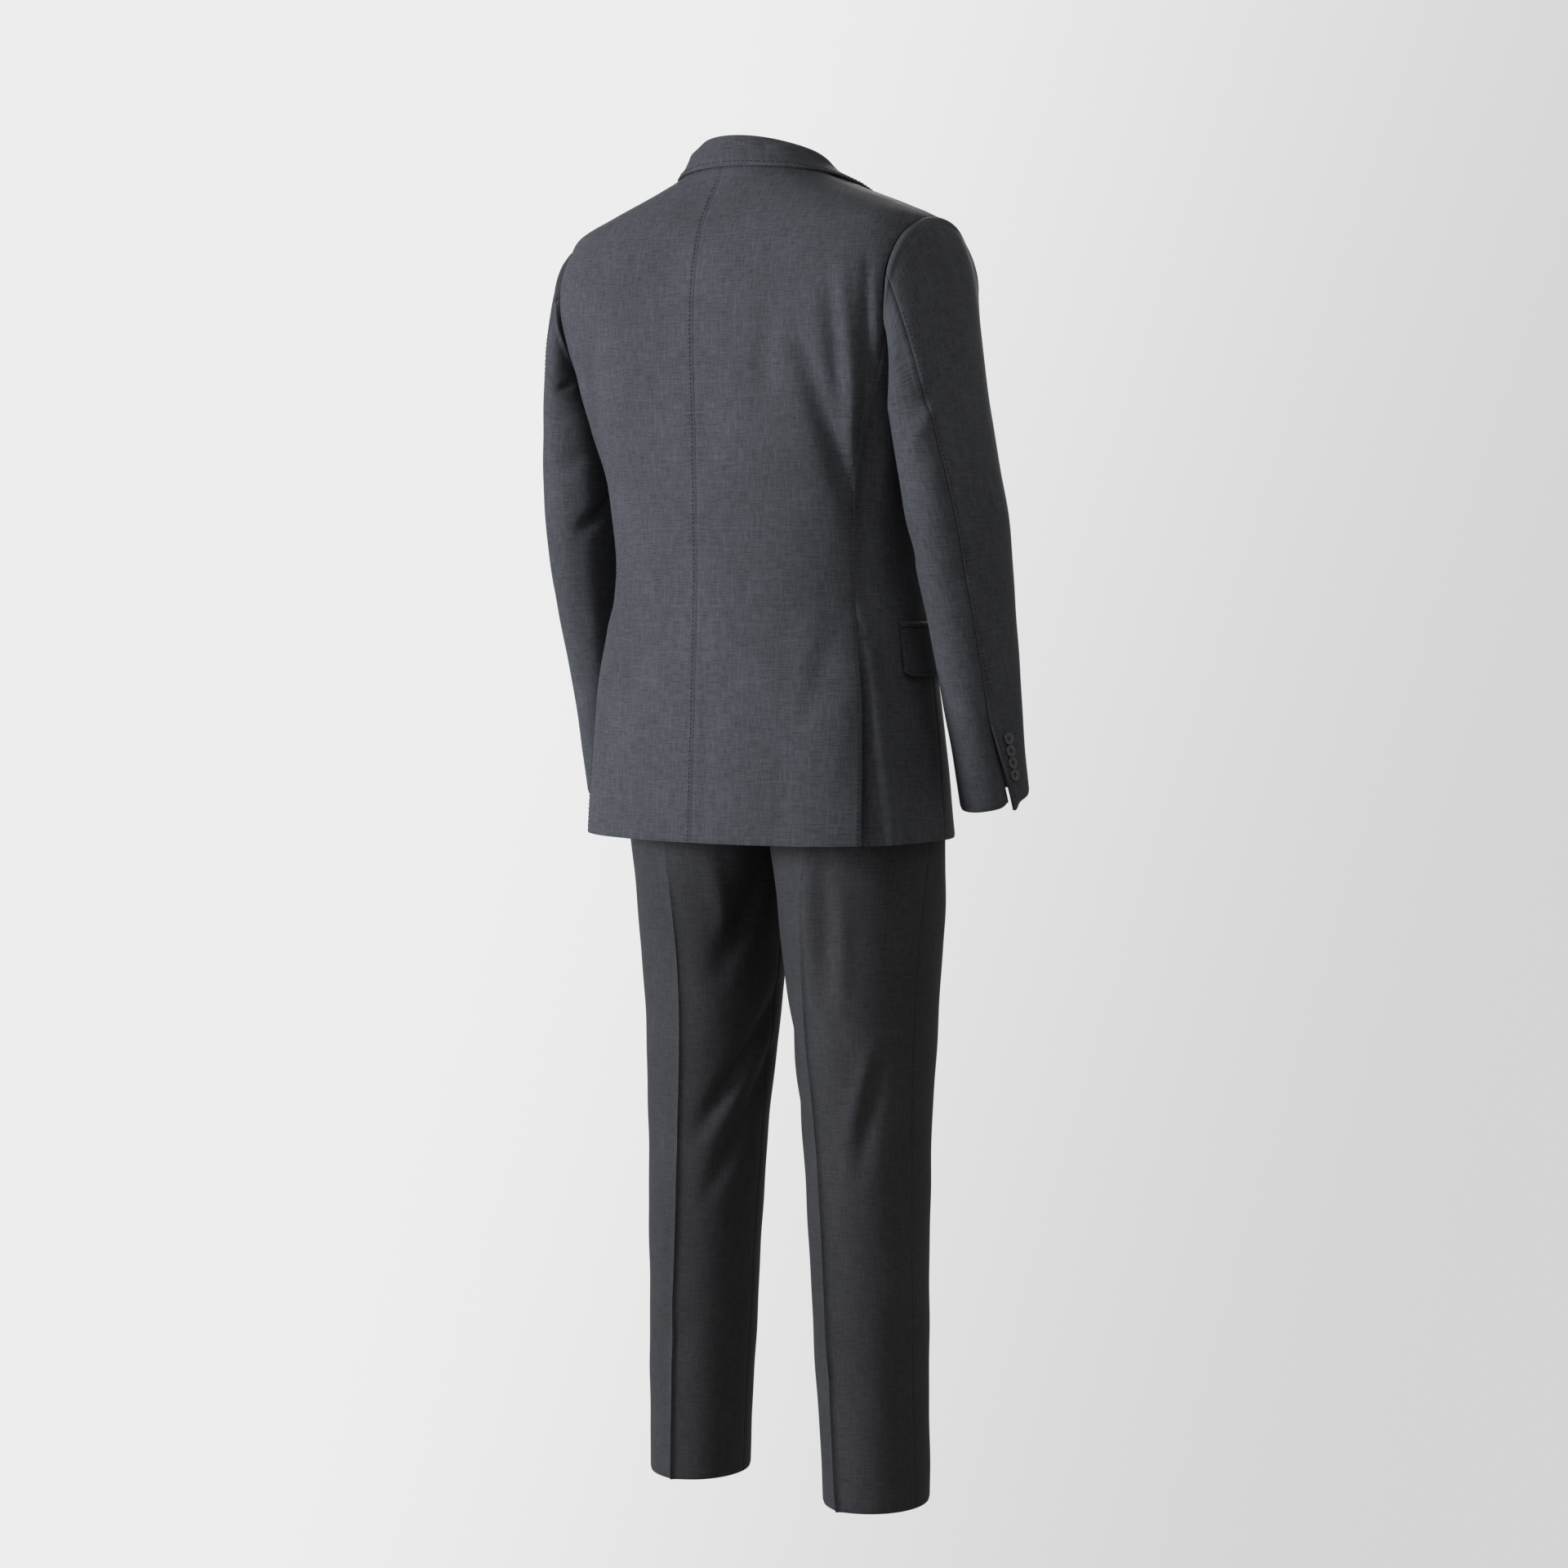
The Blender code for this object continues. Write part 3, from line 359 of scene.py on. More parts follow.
SLEEVE_FOLDS = folds(
    ((222, 62, -150), (203, 30, -400), 17, -4),
    ((206, 40, -320), (212, 10, -620), 17, -2.2),
    ((226, 71, -250), (190, 45, -228), 4.5, 5),
    ((224, 36, -405), (185, 0, -365), 8.5, 9.5),
    ((250, 66, -350), (200, 36, -310), 13, 3),
    ((205, -30, -415), (235, -85, -400), 8, 4),
    ((207, -40, -440), (245, -92, -432), 9, 3),
    ((270, 20, -470), (225, 16, -520), 13, 2),
    ((262, -30, -560), (222, -40, -610), 12, 1.6),
    ((-236, 69, -140), (-266, 42, -430), 20, -5.5),
    ((-228, 75, -215), (-250, 60, -275), 9, 2.6),
    ((-238, 66, -330), (-262, 44, -272), 7, -3.2),
    ((-232, 68, -300), (-262, 36, -250), 10, 2.6),
    ((-228, 50, -350), (-266, 20, -320), 10, 2.4),
    ((-232, 40, -405), (-205, 10, -445), 12, 3.2),
    ((-205, -30, -410), (-238, -85, -405), 8, 4),
    ((-207, -40, -445), (-246, -92, -440), 9, 3),
    ((-285, 0, -430), (-262, 28, -480), 13, 1.6),
)
TROUSER_FOLDS = folds(
    ((4, -40, -745), (50, 10, -910), 16, 9),
    ((50, 24, -760), (34, -2, -890), 11, -3),
    ((26, -75, -925), (72, 12, -1085), 12, 10),
    ((30, -50, -985), (74, 8, -1110), 9, -2.6),
    ((36, -80, -985), (72, 0, -1160), 11, 8),
    ((150, 0, -1030), (110, 20, -1120), 14, 2.2),
    ((-98, 46, -745), (-96, 36, -930), 9, -3.2),
    ((-118, 40, -730), (-114, 32, -920), 8, 2.2),
    ((-134, 30, -790), (-130, 26, -930), 9, -2.6),
    ((-154, 0, -960), (-126, 16, -1085), 10, -3.6),
    ((-160, -6, -985), (-140, 10, -1120), 10, 3.8),
    ((-30, -45, -900), (-75, 20, -1000), 15, 2.6),
    ((-34, -45, -980), (-78, 12, -1080), 15, 2),
    ((20, -120, -800), (110, -160, -900), 15, 3.6),
    ((-20, -120, -810), (-112, -160, -890), 15, 3.4),
    ((60, -130, -1050), (150, -120, -1085), 15, 3),
    ((-60, -130, -1060), (-150, -120, -1080), 15, 3.2),
    ((85, -125, -1410), (155, -115, -1425), 12, 2.4),
    ((-90, -125, -1405), (-155, -115, -1430), 12, 2.6),
    ((90, 0, -1300), (150, -10, -1360), 15, 1.8),
    ((-100, 0, -1320), (-150, -10, -1370), 15, 1.6),
)


def wavy(points, height):
    """Slow unevenness, as in cloth that is never quite flat."""
    x, y, z = points[..., 0], points[..., 1], points[..., 2]
    slow = np.sin(31 * x + 17 * z + 1.3) * np.sin(23 * z - 19 * y + 0.4)
    quick = np.sin(67 * x - 29 * z + 2.1) * np.sin(53 * z + 41 * y)
    return height * (0.7 * slow + 0.3 * quick)


def folded(points, outward, folds, height):
    """Points moved along their outward direction by every fold and by slow waves.

    A fold's line is straight and the panel is not, so its distance off the panel counts little."""
    depth = -wavy(points, height)
    for fold in folds:
        run = fold.end - fold.start
        along = ((points - fold.start) @ run) / (run @ run)
        nearest = fold.start + np.clip(along, 0, 1)[..., None] * run
        away = points - nearest
        off = (away * outward).sum(axis=-1)
        beside = (away ** 2).sum(axis=-1) - (1 - OFF_WEIGHT) * off ** 2
        fade = eased(along, -0.15, 0.35) * (1 - eased(along, 0.6, 1.15))
        depth = depth + fold.depth * fade * np.exp(-beside / fold.half_width ** 2)
    return points - outward * depth[..., None]


def edge_distances(points):
    """How far each point lies from the nearer side edge and from the nearer end of its panel."""
    across, along = runs(points, 1), runs(points)
    return np.minimum(across, across[:, -1:] - across), np.minimum(along, along[-1:] - along)


def turned_in(points, outward, depth=0.0009, reach=0.0022):
    """Rolls a panel's edges inwards, as a seam and a pressed hem do."""
    side, end = edge_distances(points)
    dip = np.exp(-((side / reach) ** 2)) + np.exp(-((end / reach) ** 2))
    return points - outward * (depth * np.minimum(dip, 1))[..., None]


def turned_to(grid, edge):
    """The grid turned so that this edge is its first column; doing it twice gives the grid back."""
    if edge == "last":
        return grid[:, ::-1]
    if edge == "bottom":
        return np.swapaxes(grid, 0, 1)
    if edge == "top":
        return np.swapaxes(grid[::-1, ::-1], 0, 1)
    return grid


def with_allowances(grids, edges, past=0.00035, deep=0.0034):
    """Adds the seam allowance behind each edge: it turns in, just past the seam, so no light shows."""
    for edge in edges:
        points, outward, threads = (turned_to(grid, edge) for grid in grids)
        beyond = unit(points[:, 0] - points[:, 1])
        lip = points[:, 0] + beyond * past - outward[:, 0] * deep
        added = (lip, outward[:, 0], threads[:, 0] - (threads[:, 1] - threads[:, 0]))
        grids = [
            turned_to(np.concatenate([new[:, None], old], axis=1), edge)
            for new, old in zip(added, (points, outward, threads))
        ]
    return grids


def thread_map(points):
    """Where each point lies on its cut piece, in metres across and along."""
    across, along = runs(points[len(points) // 2]), runs(points[:, points.shape[1] // 2])
    return np.stack(np.broadcast_arrays(across[None, :], along[:, None]), axis=-1)


def girth_map(points):
    """The same round the jacket's body: the way round from the centre back, and the way up."""
    turns = BODY.turn_of(points) * np.linspace(0, 1, 32)[:, None, None]
    around = runs(BODY.point(turns, np.broadcast_to(points[..., 2], turns.shape)))[-1]
    heights = np.linspace(HEM_Z - 0.02, BODY_RINGS[-1].z, 300)
    climb = runs(BODY.point(np.full(300, BESIDE_SPINE_TURN), heights))
    return np.stack([around, np.interp(points[..., 2], heights, climb)], axis=-1)


# %% [markdown]
# ## Laying a sheet
# Each piece of cloth starts as Blender's grid. Code then lays its points on the form, writes a
# UV map in metres along the threads, and Solidify gives it the wall of its solid. The extra
# rows close to each edge let the seam roll in, which a coarse grid couldn't show.

# %% A helper that lays cloth
def fine_shares(count, length, near=(0.0013, 0.0030, 0.0055)):
    """Even shares from 0 to 1, with extra ones close to both ends, for an edge this long."""
    ends = np.array(near) / length
    return np.unique(np.concatenate([[0], ends, np.linspace(0.025, 0.975, count), 1 - ends, [1]]))


def lay_cloth(name, points, outward, threads, wall, finish, slot):
    rows, columns = points.shape[:2]
    deselect()
    bpy.ops.mesh.primitive_grid_add(
        x_subdivisions=columns - 1, y_subdivisions=rows - 1, size=1, calc_uvs=True
    )
    cloth = bpy.context.object
    cloth.name = name
    mesh = cloth.data
    flat = np.empty(len(mesh.vertices) * 3)
    mesh.vertices.foreach_get("co", flat)
    flat = flat.reshape(-1, 3)
    column = np.rint((flat[:, 0] + 0.5) * (columns - 1)).astype(int)
    row = np.rint((flat[:, 1] + 0.5) * (rows - 1)).astype(int)
    mesh.vertices.foreach_set("co", points[row, column].ravel())

    corner = np.empty(len(mesh.loops), dtype=int)
    mesh.loops.foreach_get("vertex_index", corner)
    mesh.uv_layers.active.data.foreach_set("uv", threads[row[corner], column[corner]].ravel())

    mesh.update()
    facing = np.empty(len(mesh.vertices) * 3)
    mesh.vertices.foreach_get("normal", facing)
    if (facing.reshape(-1, 3) * outward[row, column]).sum() < 0:
        mesh.flip_normals()
    wall_modifier = cloth.modifiers.new("wall", "SOLIDIFY")
    wall_modifier.thickness = wall
    wall_modifier.offset = -1
    bpy.ops.object.modifier_apply(modifier="wall")
    bpy.ops.object.shade_smooth_by_angle(angle=math.radians(55))
    mesh.materials.clear()
    mesh.materials.append(finish)
    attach(cloth, "root")
    return cloth


def flipped(points):
    return points * np.array([-1.0, 1.0, 1.0])


def sheet_area(points):
    """The area of a laid sheet, from its own small squares."""
    one = np.cross(points[1:, 1:] - points[:-1, :-1], points[1:, :-1] - points[:-1, 1:])
    return float(np.linalg.norm(one, axis=-1).sum() / 2)

# %% [markdown]
# ## The wool
# This is a fine worsted in which lighter and darker threads run both ways, so it looks like
# short faint streaks rather than one colour. Noise stretched along the warp and along the weft
# gives the streaks, a checker about a thread wide gives the weave's relief, and a little
# sheen gives wool its soft edge light. The UV map is in metres, so the scales are real ones.

# %% Make the cloth finishes
THREADS_PER_METRE = 1900.0


def new_finish(name, values):
    """A new material with these values on its shader's sockets."""
    material = bpy.data.materials.new(name)
    material.use_nodes = True
    shader = material.node_tree.nodes["Principled BSDF"]
    for socket, value in values.items():
        shader.inputs[socket].default_value = value
    return material, material.node_tree, shader


def node(tree, kind, inputs=(), **settings):
    """A new node with these settings and with values or other nodes' outputs on its inputs."""
    made = tree.nodes.new(kind)
    for key, value in settings.items():
        setattr(made, key, value)
    for socket, value in dict(inputs).items():
        if isinstance(value, bpy.types.NodeSocket):
            tree.links.new(value, made.inputs[socket])
        else:
            made.inputs[socket].default_value = value
    return made


def streaks(tree, threads, along_u, along_v, detail=3.0):
    """Noise on the thread map, stretched by its own scales along weft and warp."""
    scales = {"Scale": (along_u, along_v, 1.0), "Vector": threads}
    stretch = node(tree, "ShaderNodeMapping", scales).outputs[0]
    kind = {"Scale": 1.0, "Detail": detail, "Roughness": 0.6, "Vector": stretch}
    return node(tree, "ShaderNodeTexNoise", kind).outputs[0]


def mixed(tree, factor, first, second, kind="MIX"):
    """A colour mixed from two values or outputs."""
    inputs = {0: factor, 6: first, 7: second}
    return node(tree, "ShaderNodeMix", inputs, data_type="RGBA", blend_type=kind).outputs[2]


def tones(tree, source, low, high, dark, light, way="LINEAR"):
    """Turns low to high in the source into dark to light, with nothing beyond them."""
    inputs = {"From Min": low, "From Max": high, "To Min": dark, "To Max": light, "Value": source}
    return node(tree, "ShaderNodeMapRange", inputs, interpolation_type=way).outputs[0]


def worsted(name, ground, light_thread, dark_thread, sheen):
    cloth = {
        "Roughness": 0.78,
        "Specular IOR Level": 0.05,
        "Sheen Weight": sheen,
        "Sheen Roughness": 0.45,
        "Sheen Tint": (0.75, 0.80, 0.95, 1.0),
    }
    material, tree, shader = new_finish(name, cloth)
    threads = node(tree, "ShaderNodeUVMap", uv_map="UVMap").outputs["UV"]
    warp = streaks(tree, threads, 900.0, 70.0)
    weft = streaks(tree, threads, 60.0, 900.0)
    slub = streaks(tree, threads, 260.0, 22.0, detail=2.0)
    bar = streaks(tree, threads, 20.0, 300.0, detail=2.0)
    cloud = streaks(tree, threads, 9.0, 6.0, detail=4.0)
    colour = mixed(tree, tones(tree, warp, 0.42, 0.62, 0.0, 0.75), ground, light_thread)
    colour = mixed(tree, tones(tree, weft, 0.46, 0.66, 0.0, 0.80), colour, dark_thread)
    colour = mixed(tree, tones(tree, slub, 0.52, 0.68, 0.0, 0.40), colour, light_thread)
    colour = mixed(tree, tones(tree, bar, 0.52, 0.68, 0.0, 0.34), colour, light_thread)
    patchy = tones(tree, cloud, 0.35, 0.65, 0.0, 1.0)
    shade = mixed(tree, patchy, (0.90, 0.90, 0.90, 1.0), (1.10, 1.10, 1.12, 1.0))
    colour = mixed(tree, 1.0, colour, shade, kind="MULTIPLY")
    tree.links.new(colour, shader.inputs["Base Color"])

    scales = {"Scale": (THREADS_PER_METRE,) * 3, "Vector": threads}
    weave = node(tree, "ShaderNodeMapping", scales).outputs[0]
    relief = node(tree, "ShaderNodeTexChecker", {"Scale": 1.0, "Vector": weave}).outputs["Fac"]
    soft = node(tree, "ShaderNodeMath", {0: relief, 1: 0.35}, operation="MULTIPLY").outputs[0]
    heights = node(tree, "ShaderNodeMath", {0: soft, 1: warp}, operation="ADD").outputs[0]
    bump = node(tree, "ShaderNodeBump", {"Strength": 0.30, "Distance": 0.0003, "Height": heights})
    tree.links.new(bump.outputs["Normal"], shader.inputs["Normal"])
    return material


wool = worsted(
    "suit_wool",
    ground=(0.0174, 0.0179, 0.0199, 1.0),
    light_thread=(0.0292, 0.0300, 0.0335, 1.0),
    dark_thread=(0.0104, 0.0106, 0.0120, 1.0),
    sheen=0.012,
)
# The trousers use the jacket's cloth in a darker, more neutral copy: the darkening is painted shade for
# the lower light on the legs.
shaded_trouser_wool = worsted(
    "shaded_trouser_wool",
    ground=(0.0127, 0.0126, 0.0133, 1.0),
    light_thread=(0.0188, 0.0187, 0.0198, 1.0),
    dark_thread=(0.0082, 0.0081, 0.0088, 1.0),
    sheen=0.010,
)
print("finishes", wool.name, shaded_trouser_wool.name)

# %% [markdown]
# ## Backs, side panels and fronts
# A jacket's body is six pieces, each bounded by its seams. For the backs and the fronts the
# side edges and the ends are written as curves first, and a patch is drawn through all four. A
# side panel goes straight round the form between its two seams. The backs stand a little
# proud below the vent's top, as the photographed suit's do at the hip.

# %% Seams and edges
def armhole(turn):
    """The armhole's edge on the left side, from the back over the top to the front."""
    turn = np.radians(turn)
    y = ARMHOLE_MIDDLE_Y + ARMHOLE_HALF_DEPTH * np.cos(turn)
    z = ARMHOLE_MIDDLE_Z + ARMHOLE_HALF_HEIGHT * np.sin(turn)
    return np.stack([BODY.side_x(y, z), y, z], axis=-1)


def side_back_x(z):
    top = armhole(BACK_SEAM_TURN)
    return read_rows(SIDE_BACK_SEAM + table("z x", (top[2], top[0])), "x", z)


def side_front_x(z):
    return BODY.side_x(SIDE_FRONT_SEAM_Y, z)


def front_edge_x(z):
    return read_rows(FRONT_EDGE, "x", z)


def seam_then_armhole(shares, seam_x, first_turn):
    """A panel's outer edge in x and z: up its side seam, then round the armhole to the shoulder."""
    seam_top = armhole(first_turn)[2]
    z = HEM_Z + (seam_top - HEM_Z) * np.minimum(shares / SIDE_SHARE, 1)
    turn = first_turn + (90 - first_turn) * np.maximum((shares - SIDE_SHARE) / (1 - SIDE_SHARE), 0)
    on_seam = np.stack([seam_x(z), z], axis=-1)
    return np.where((shares < SIDE_SHARE)[:, None], on_seam, armhole(turn)[:, [0, 2]])


def ridge_height(x):
    heights = np.linspace(NECK_POINT_Z, SHOULDER_END_Z, 400)
    return np.interp(x, BODY.read("half_width", heights), heights)


def patch(bottom, top, inner, outer, across, up):
    """A patch through four edges, at these shares across and up."""
    v, s = up[:, None, None], across[None, :, None]
    edges = (1 - v) * bottom[None] + v * top[None] + (1 - s) * inner[:, None] + s * outer[:, None]
    corners = (1 - v) * ((1 - s) * bottom[0] + s * bottom[-1]) + v * ((1 - s) * top[0] + s * top[-1])
    return edges - corners


def bent(shares, bend):
    """Shares that crowd together towards 1, as points round an arc do."""
    return np.sin(shares * bend) / math.sin(bend)


# %% The backs
def back_panel():
    up, across = fine_shares(190, 0.74), fine_shares(62, 0.20)
    across = bent(across, 1.1)
    inner = np.stack([0 * up, HEM_Z + (NAPE_Z - HEM_Z) * up], axis=-1)
    outer = seam_then_armhole(up, side_back_x, BACK_SEAM_TURN)
    bottom = np.stack([outer[0, 0] * across, HEM_Z + 0 * across], axis=-1)
    neck_x, end_x = BODY.read("half_width", NECK_POINT_Z), armhole(90)[0]
    top_x = end_x * across
    neck_z = NAPE_Z + (NECK_POINT_Z - NAPE_Z) * (top_x / neck_x) ** 2
    top = np.stack([top_x, np.where(top_x < neck_x, neck_z, ridge_height(top_x))], axis=-1)
    flat = patch(bottom, top, inner, outer, across, up)
    x, z = np.clip(flat[..., 0], SEAM_GAP / 2, None), flat[..., 1]
    points = BODY.over(x, z, 1)
    outward = BODY.normals(points)
    middle = BODY.sizes(z)[1]
    points[..., 1] = np.maximum(points[..., 1], middle + SEAM_GAP / 2)
    on_ridge = top_x >= neck_x
    points[-1, on_ridge, 1] = middle[-1, on_ridge] + SEAM_GAP / 2
    below_vent_top = 1 - eased(z, VENT_TOP_Z - 0.08, VENT_TOP_Z + VENT_EASE)
    near_vent = below_vent_top * np.clip((x - LAP_FROM_X) / 0.07, 0, 1.1) ** 1.5
    laps = 1 - eased(z, VENT_TOP_Z, VENT_TOP_Z + VENT_EASE)
    laps = laps * eased(x, LAP_FROM_X, LAP_FULL_X)
    return points + outward * (VENT_LIFT * near_vent + ON_CLOTH * laps)[..., None], outward


def side_panel():
    up, across = fine_shares(120, 0.5), fine_shares(34, 0.13)
    turns = FRONT_SEAM_TURN + (360 + BACK_SEAM_TURN - FRONT_SEAM_TURN) * (1 - across)
    top = armhole(turns)
    z = HEM_Z + (top[None, :, 2] - HEM_Z) * up[:, None]
    back_edge = BODY.over(side_back_x(z[:, 0]), z[:, 0], 1)
    front_edge = np.stack([side_front_x(z[:, -1]), SIDE_FRONT_SEAM_Y + 0 * up, z[:, -1]], axis=-1)
    half_width = BODY.read("half_width", z[:, 0])
    gap = np.degrees(2.0 * SEAM_GAP / half_width)
    underlap = VENT_UNDERLAP * (z[:, 0] < VENT_TOP_Z - 0.002)
    first = BODY.turn_of(back_edge) + gap - np.degrees(underlap / half_width)
    last = BODY.turn_of(front_edge) - gap
    points = BODY.point(first[:, None] + (last - first)[:, None] * across[None, :], z)
    return points, BODY.normals(points)


def front_panel(overlaps):
    up, across = fine_shares(150, 0.74), bent(fine_shares(44, 0.24), 1.3)
    edge_z = HEM_Z + (NECK_POINT_Z - HEM_Z) * up
    inner = np.stack([front_edge_x(edge_z), edge_z], axis=-1)
    outer = seam_then_armhole(up, side_front_x, FRONT_SEAM_TURN)
    bottom_x = inner[0, 0] + (outer[0, 0] - inner[0, 0]) * across
    bottom = np.stack([bottom_x, HEM_Z + 0 * across], axis=-1)
    top_x = inner[-1, 0] + (outer[-1, 0] - inner[-1, 0]) * across
    top = np.stack([top_x, ridge_height(top_x)], axis=-1)
    flat = patch(bottom, top, inner, outer, across, up)
    x, z = flat[..., 0], flat[..., 1]
    points = BODY.over(x, z, -1)
    outward = BODY.normals(points)
    middle = BODY.sizes(z)[1]
    points[..., 1] = np.minimum(points[..., 1], middle - SEAM_GAP / 2)
    points[-1, :, 1] = middle[-1] - SEAM_GAP / 2
    if overlaps:
        laps = 1 - eased(x, FRONT_OVERLAP + 0.012, FRONT_OVERLAP + 0.045)
        points = points + outward * (ON_CLOTH * laps * (1 - eased(z, *FRONT_LAP_TOP_Z)))[..., None]
    return points, outward


# %% [markdown]
# The cut sizes below are the flat width, length and area of each piece, in metres and square
# metres. They were measured on the laid cloth, because tailored wool is pressed to shape with
# little stretch. On the side panels a trough lies under each vent.

# %% Lay the jacket's body
Cut = namedtuple("Cut", "width length area")
CUTS = {
    "jacket_back": Cut(0.265, 0.791, 0.156),
    "jacket_side": Cut(0.180, 0.576, 0.0745),
    "jacket_front": Cut(0.255, 0.838, 0.1655),
    "lapel": Cut(0.092, 0.374, 0.0230),
    "collar": Cut(0.490, 0.085, 0.0288),
    "sleeve_top": Cut(0.295, 0.637, 0.117),
    "sleeve_under": Cut(0.222, 0.585, 0.0742),
    "trouser_back": Cut(0.311, 1.078, 0.244),
    "trouser_front": Cut(0.311, 1.045, 0.2425),
    "waistband": Cut(0.451, 0.0386, 0.0170),
    "pocket_flap": Cut(0.1635, 0.0547, 0.0085),
}
laid_points = {}


def dress(name, points, outward, folds=(), seams=(), threads=None, wall=JACKET_WALL, finish=wool,
          slot="cloth", height=0.0007, held="draped", rests_on=(), with_pieces=()):
    """Folds one panel, lays it, lets it stand for its solid and states its cut."""
    threads = thread_map(points) if threads is None else threads
    points = turned_in(folded(points, outward, folds, height), outward)
    laid_points[name] = (points, outward)
    grids = with_allowances([points, outward, threads], seams)
    piece = lay_cloth(f"{name}_cloth", *grids, wall, finish, slot)
    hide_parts(name)
    cut = CUTS.get(name.replace("_left", "").replace("_right", ""))
    if cut:
        print(name, "laid", round(sheet_area(points), 4), "cut", cut.area)
    return piece


def dress_both(name, points, outward, *given, **more):
    left = dress(f"{name}_left", points, outward, *given, **more)
    right = dress(f"{name}_right", flipped(points), flipped(outward), *given, **more)
    return left, right


seams = ("first", "last", "top")
points, outward = back_panel()
dress_both("jacket_back", points, outward, BACK_FOLDS, seams, threads=girth_map(points))
points, outward = side_panel()
vent_top, vent_hem = (BODY.over(side_back_x(z), z, 1) for z in np.array([VENT_TOP_Z, HEM_Z]))
below_hem = vent_hem + 0.6 * (vent_hem - vent_top)
troughs = ((vent_top, 0.0070, 0.0110), ((vent_top + vent_hem) / 2, 0.0110, 0.0050))
under_vent = [
    Fold(way * start, way * below_hem, half_width, depth)
    for way in (np.array([1, 1, 1]), np.array([-1, 1, 1]))
    for start, half_width, depth in troughs
]
dress_both("jacket_side", points, outward, SIDE_FOLDS + under_vent, seams, threads=girth_map(points))
points, outward = front_panel(overlaps=True)
of_front = {"seams": ("last", "top"), "threads": girth_map(points)}
dress("jacket_front_left", points, outward, FRONT_FOLDS, **of_front)
points, outward = front_panel(overlaps=False)
dress("jacket_front_right", flipped(points), flipped(outward), FRONT_FOLDS, **of_front)

# %% [markdown]
# ## Lapels and collar
# A lapel is the front itself, turned over at the roll line. Its own sheet lies on the chest
# and wraps round the roll, so no cut edge shows there. The collar goes up its stand, over a
# soft fold and down its fall. Eight guide lines set it, and a smooth curve is read between
# them, because a fold needs many rows to look round.

# %% Lapels and collar
ROLL_RADIUS = 0.0028
ROLL_RISE = 0.0022
LAPEL_BELLY = 0.0012
COLLAR_FOLD_WIDTH = 0.0052
COLLAR_FOLD_RISE = 0.0022
COLLAR_EDGE_HEIGHT = 0.0034


def lapel(first_share):
    up, across = fine_shares(110, 0.36), fine_shares(22, 0.08)
    share = first_share + (1 - first_share) * up
    stations = np.linspace(0, 1, len(LAPEL))
    roll_z, edge_x, edge_z = (smooth_at(stations, column, share) for column in zip(*LAPEL))
    roll_x = front_edge_x(roll_z) - 0.001
    if first_share:
        roll_x = np.maximum(roll_x, 0.0016 - front_edge_x(roll_z))
    x = roll_x[:, None] + (edge_x - roll_x)[:, None] * across
    z = roll_z[:, None] + (edge_z - roll_z)[:, None] * across
    points = BODY.over(x, z, -1)
    outward = BODY.normals(points)
    roll = ROLL_RISE * np.exp(-across * 5) + LAPEL_BELLY * np.sin(across * math.pi)
    under = ON_CLOTH * (1 - eased(z, *LAPEL_LAP_TOP_Z)) * (first_share == 0)
    points = points + outward * (ON_CLOTH + roll + under)[..., None]
    inward = unit(points[:, :1] - points[:, 2:3])
    wrap, turned = [], []
    for angle in np.radians([150, 120, 90, 60, 35]):
        turned.append(outward[:, :1] * math.cos(angle) + inward * math.sin(angle))
        wrap.append(points[:, :1] + ROLL_RADIUS * (turned[-1] - outward[:, :1]))
    return np.concatenate(wrap + [points], axis=1), np.concatenate(turned + [outward], axis=1)


def collar():
    stations = np.linspace(-len(COLLAR) + 1, len(COLLAR) - 1, 2 * len(COLLAR) - 1)
    at = np.linspace(stations[0], stations[-1], 141)

    def guide(name):
        left = np.array([getattr(row, name) for row in COLLAR])
        both = np.concatenate([flipped(left[:0:-1]), left])
        return np.stack([smooth_at(stations, both[:, axis], at) for axis in range(3)], axis=-1)

    seam, fold, edge = guide("seam"), guide("fold"), guide("edge")
    fall_top = fold + unit(edge - seam) * COLLAR_FOLD_WIDTH
    rows = [seam + (fold - seam) * share for share in (0.0, 0.45, 0.85)]
    rows.append((fold + fall_top) / 2 + np.array([0, 0, COLLAR_FOLD_RISE]))
    rows += [fall_top + (edge - fall_top) * share for share in (0.12, 0.40, 0.70, 1.0)]
    grid = np.stack(rows)
    grid[-1] = BODY.laid(grid[-1], COLLAR_EDGE_HEIGHT)
    for row, height in ((-2, 0.0042), (-3, 0.0042), (-4, 0.0040)):
        grid[row] = BODY.lifted(grid[row], height)
    for row in (0, 1):
        grid[row] = BODY.lifted(grid[row], SEAM_GAP + 0.0004)
    middle = grid.shape[1] // 2
    run = runs(grid[:, middle])
    fine = fine_shares(30, run[-1]) * run[-1]
    grid = np.apply_along_axis(lambda line: smooth_at(run, line, fine), 0, grid)
    outward = unit(np.cross(np.gradient(grid, axis=0), np.gradient(grid, axis=1)))
    if outward[-3, middle, 1] < 0:
        outward = -outward
    return grid, outward


of_roll = {"height": 0.0003, "held": "folded"}
points, outward = lapel(0.0)
dress("lapel_left", points, outward, rests_on=["jacket_front_left"], **of_roll)
points, outward = lapel(UNDER_LAPEL_START)
dress("lapel_right", flipped(points), flipped(outward), rests_on=["jacket_front_right"], **of_roll)
dress("collar", *collar(), rests_on=["jacket_back_left", "jacket_back_right"], **of_roll)

# %% [markdown]
# ## Sleeves
# A tailored sleeve has two pieces, and its elbow bends forward. Here it starts as the armhole's
# own oval, eases down over the shoulder to a round, and follows the arm to the cuff. The
# seam behind runs down to the cuff's vent, where the top sleeve carries the buttons.

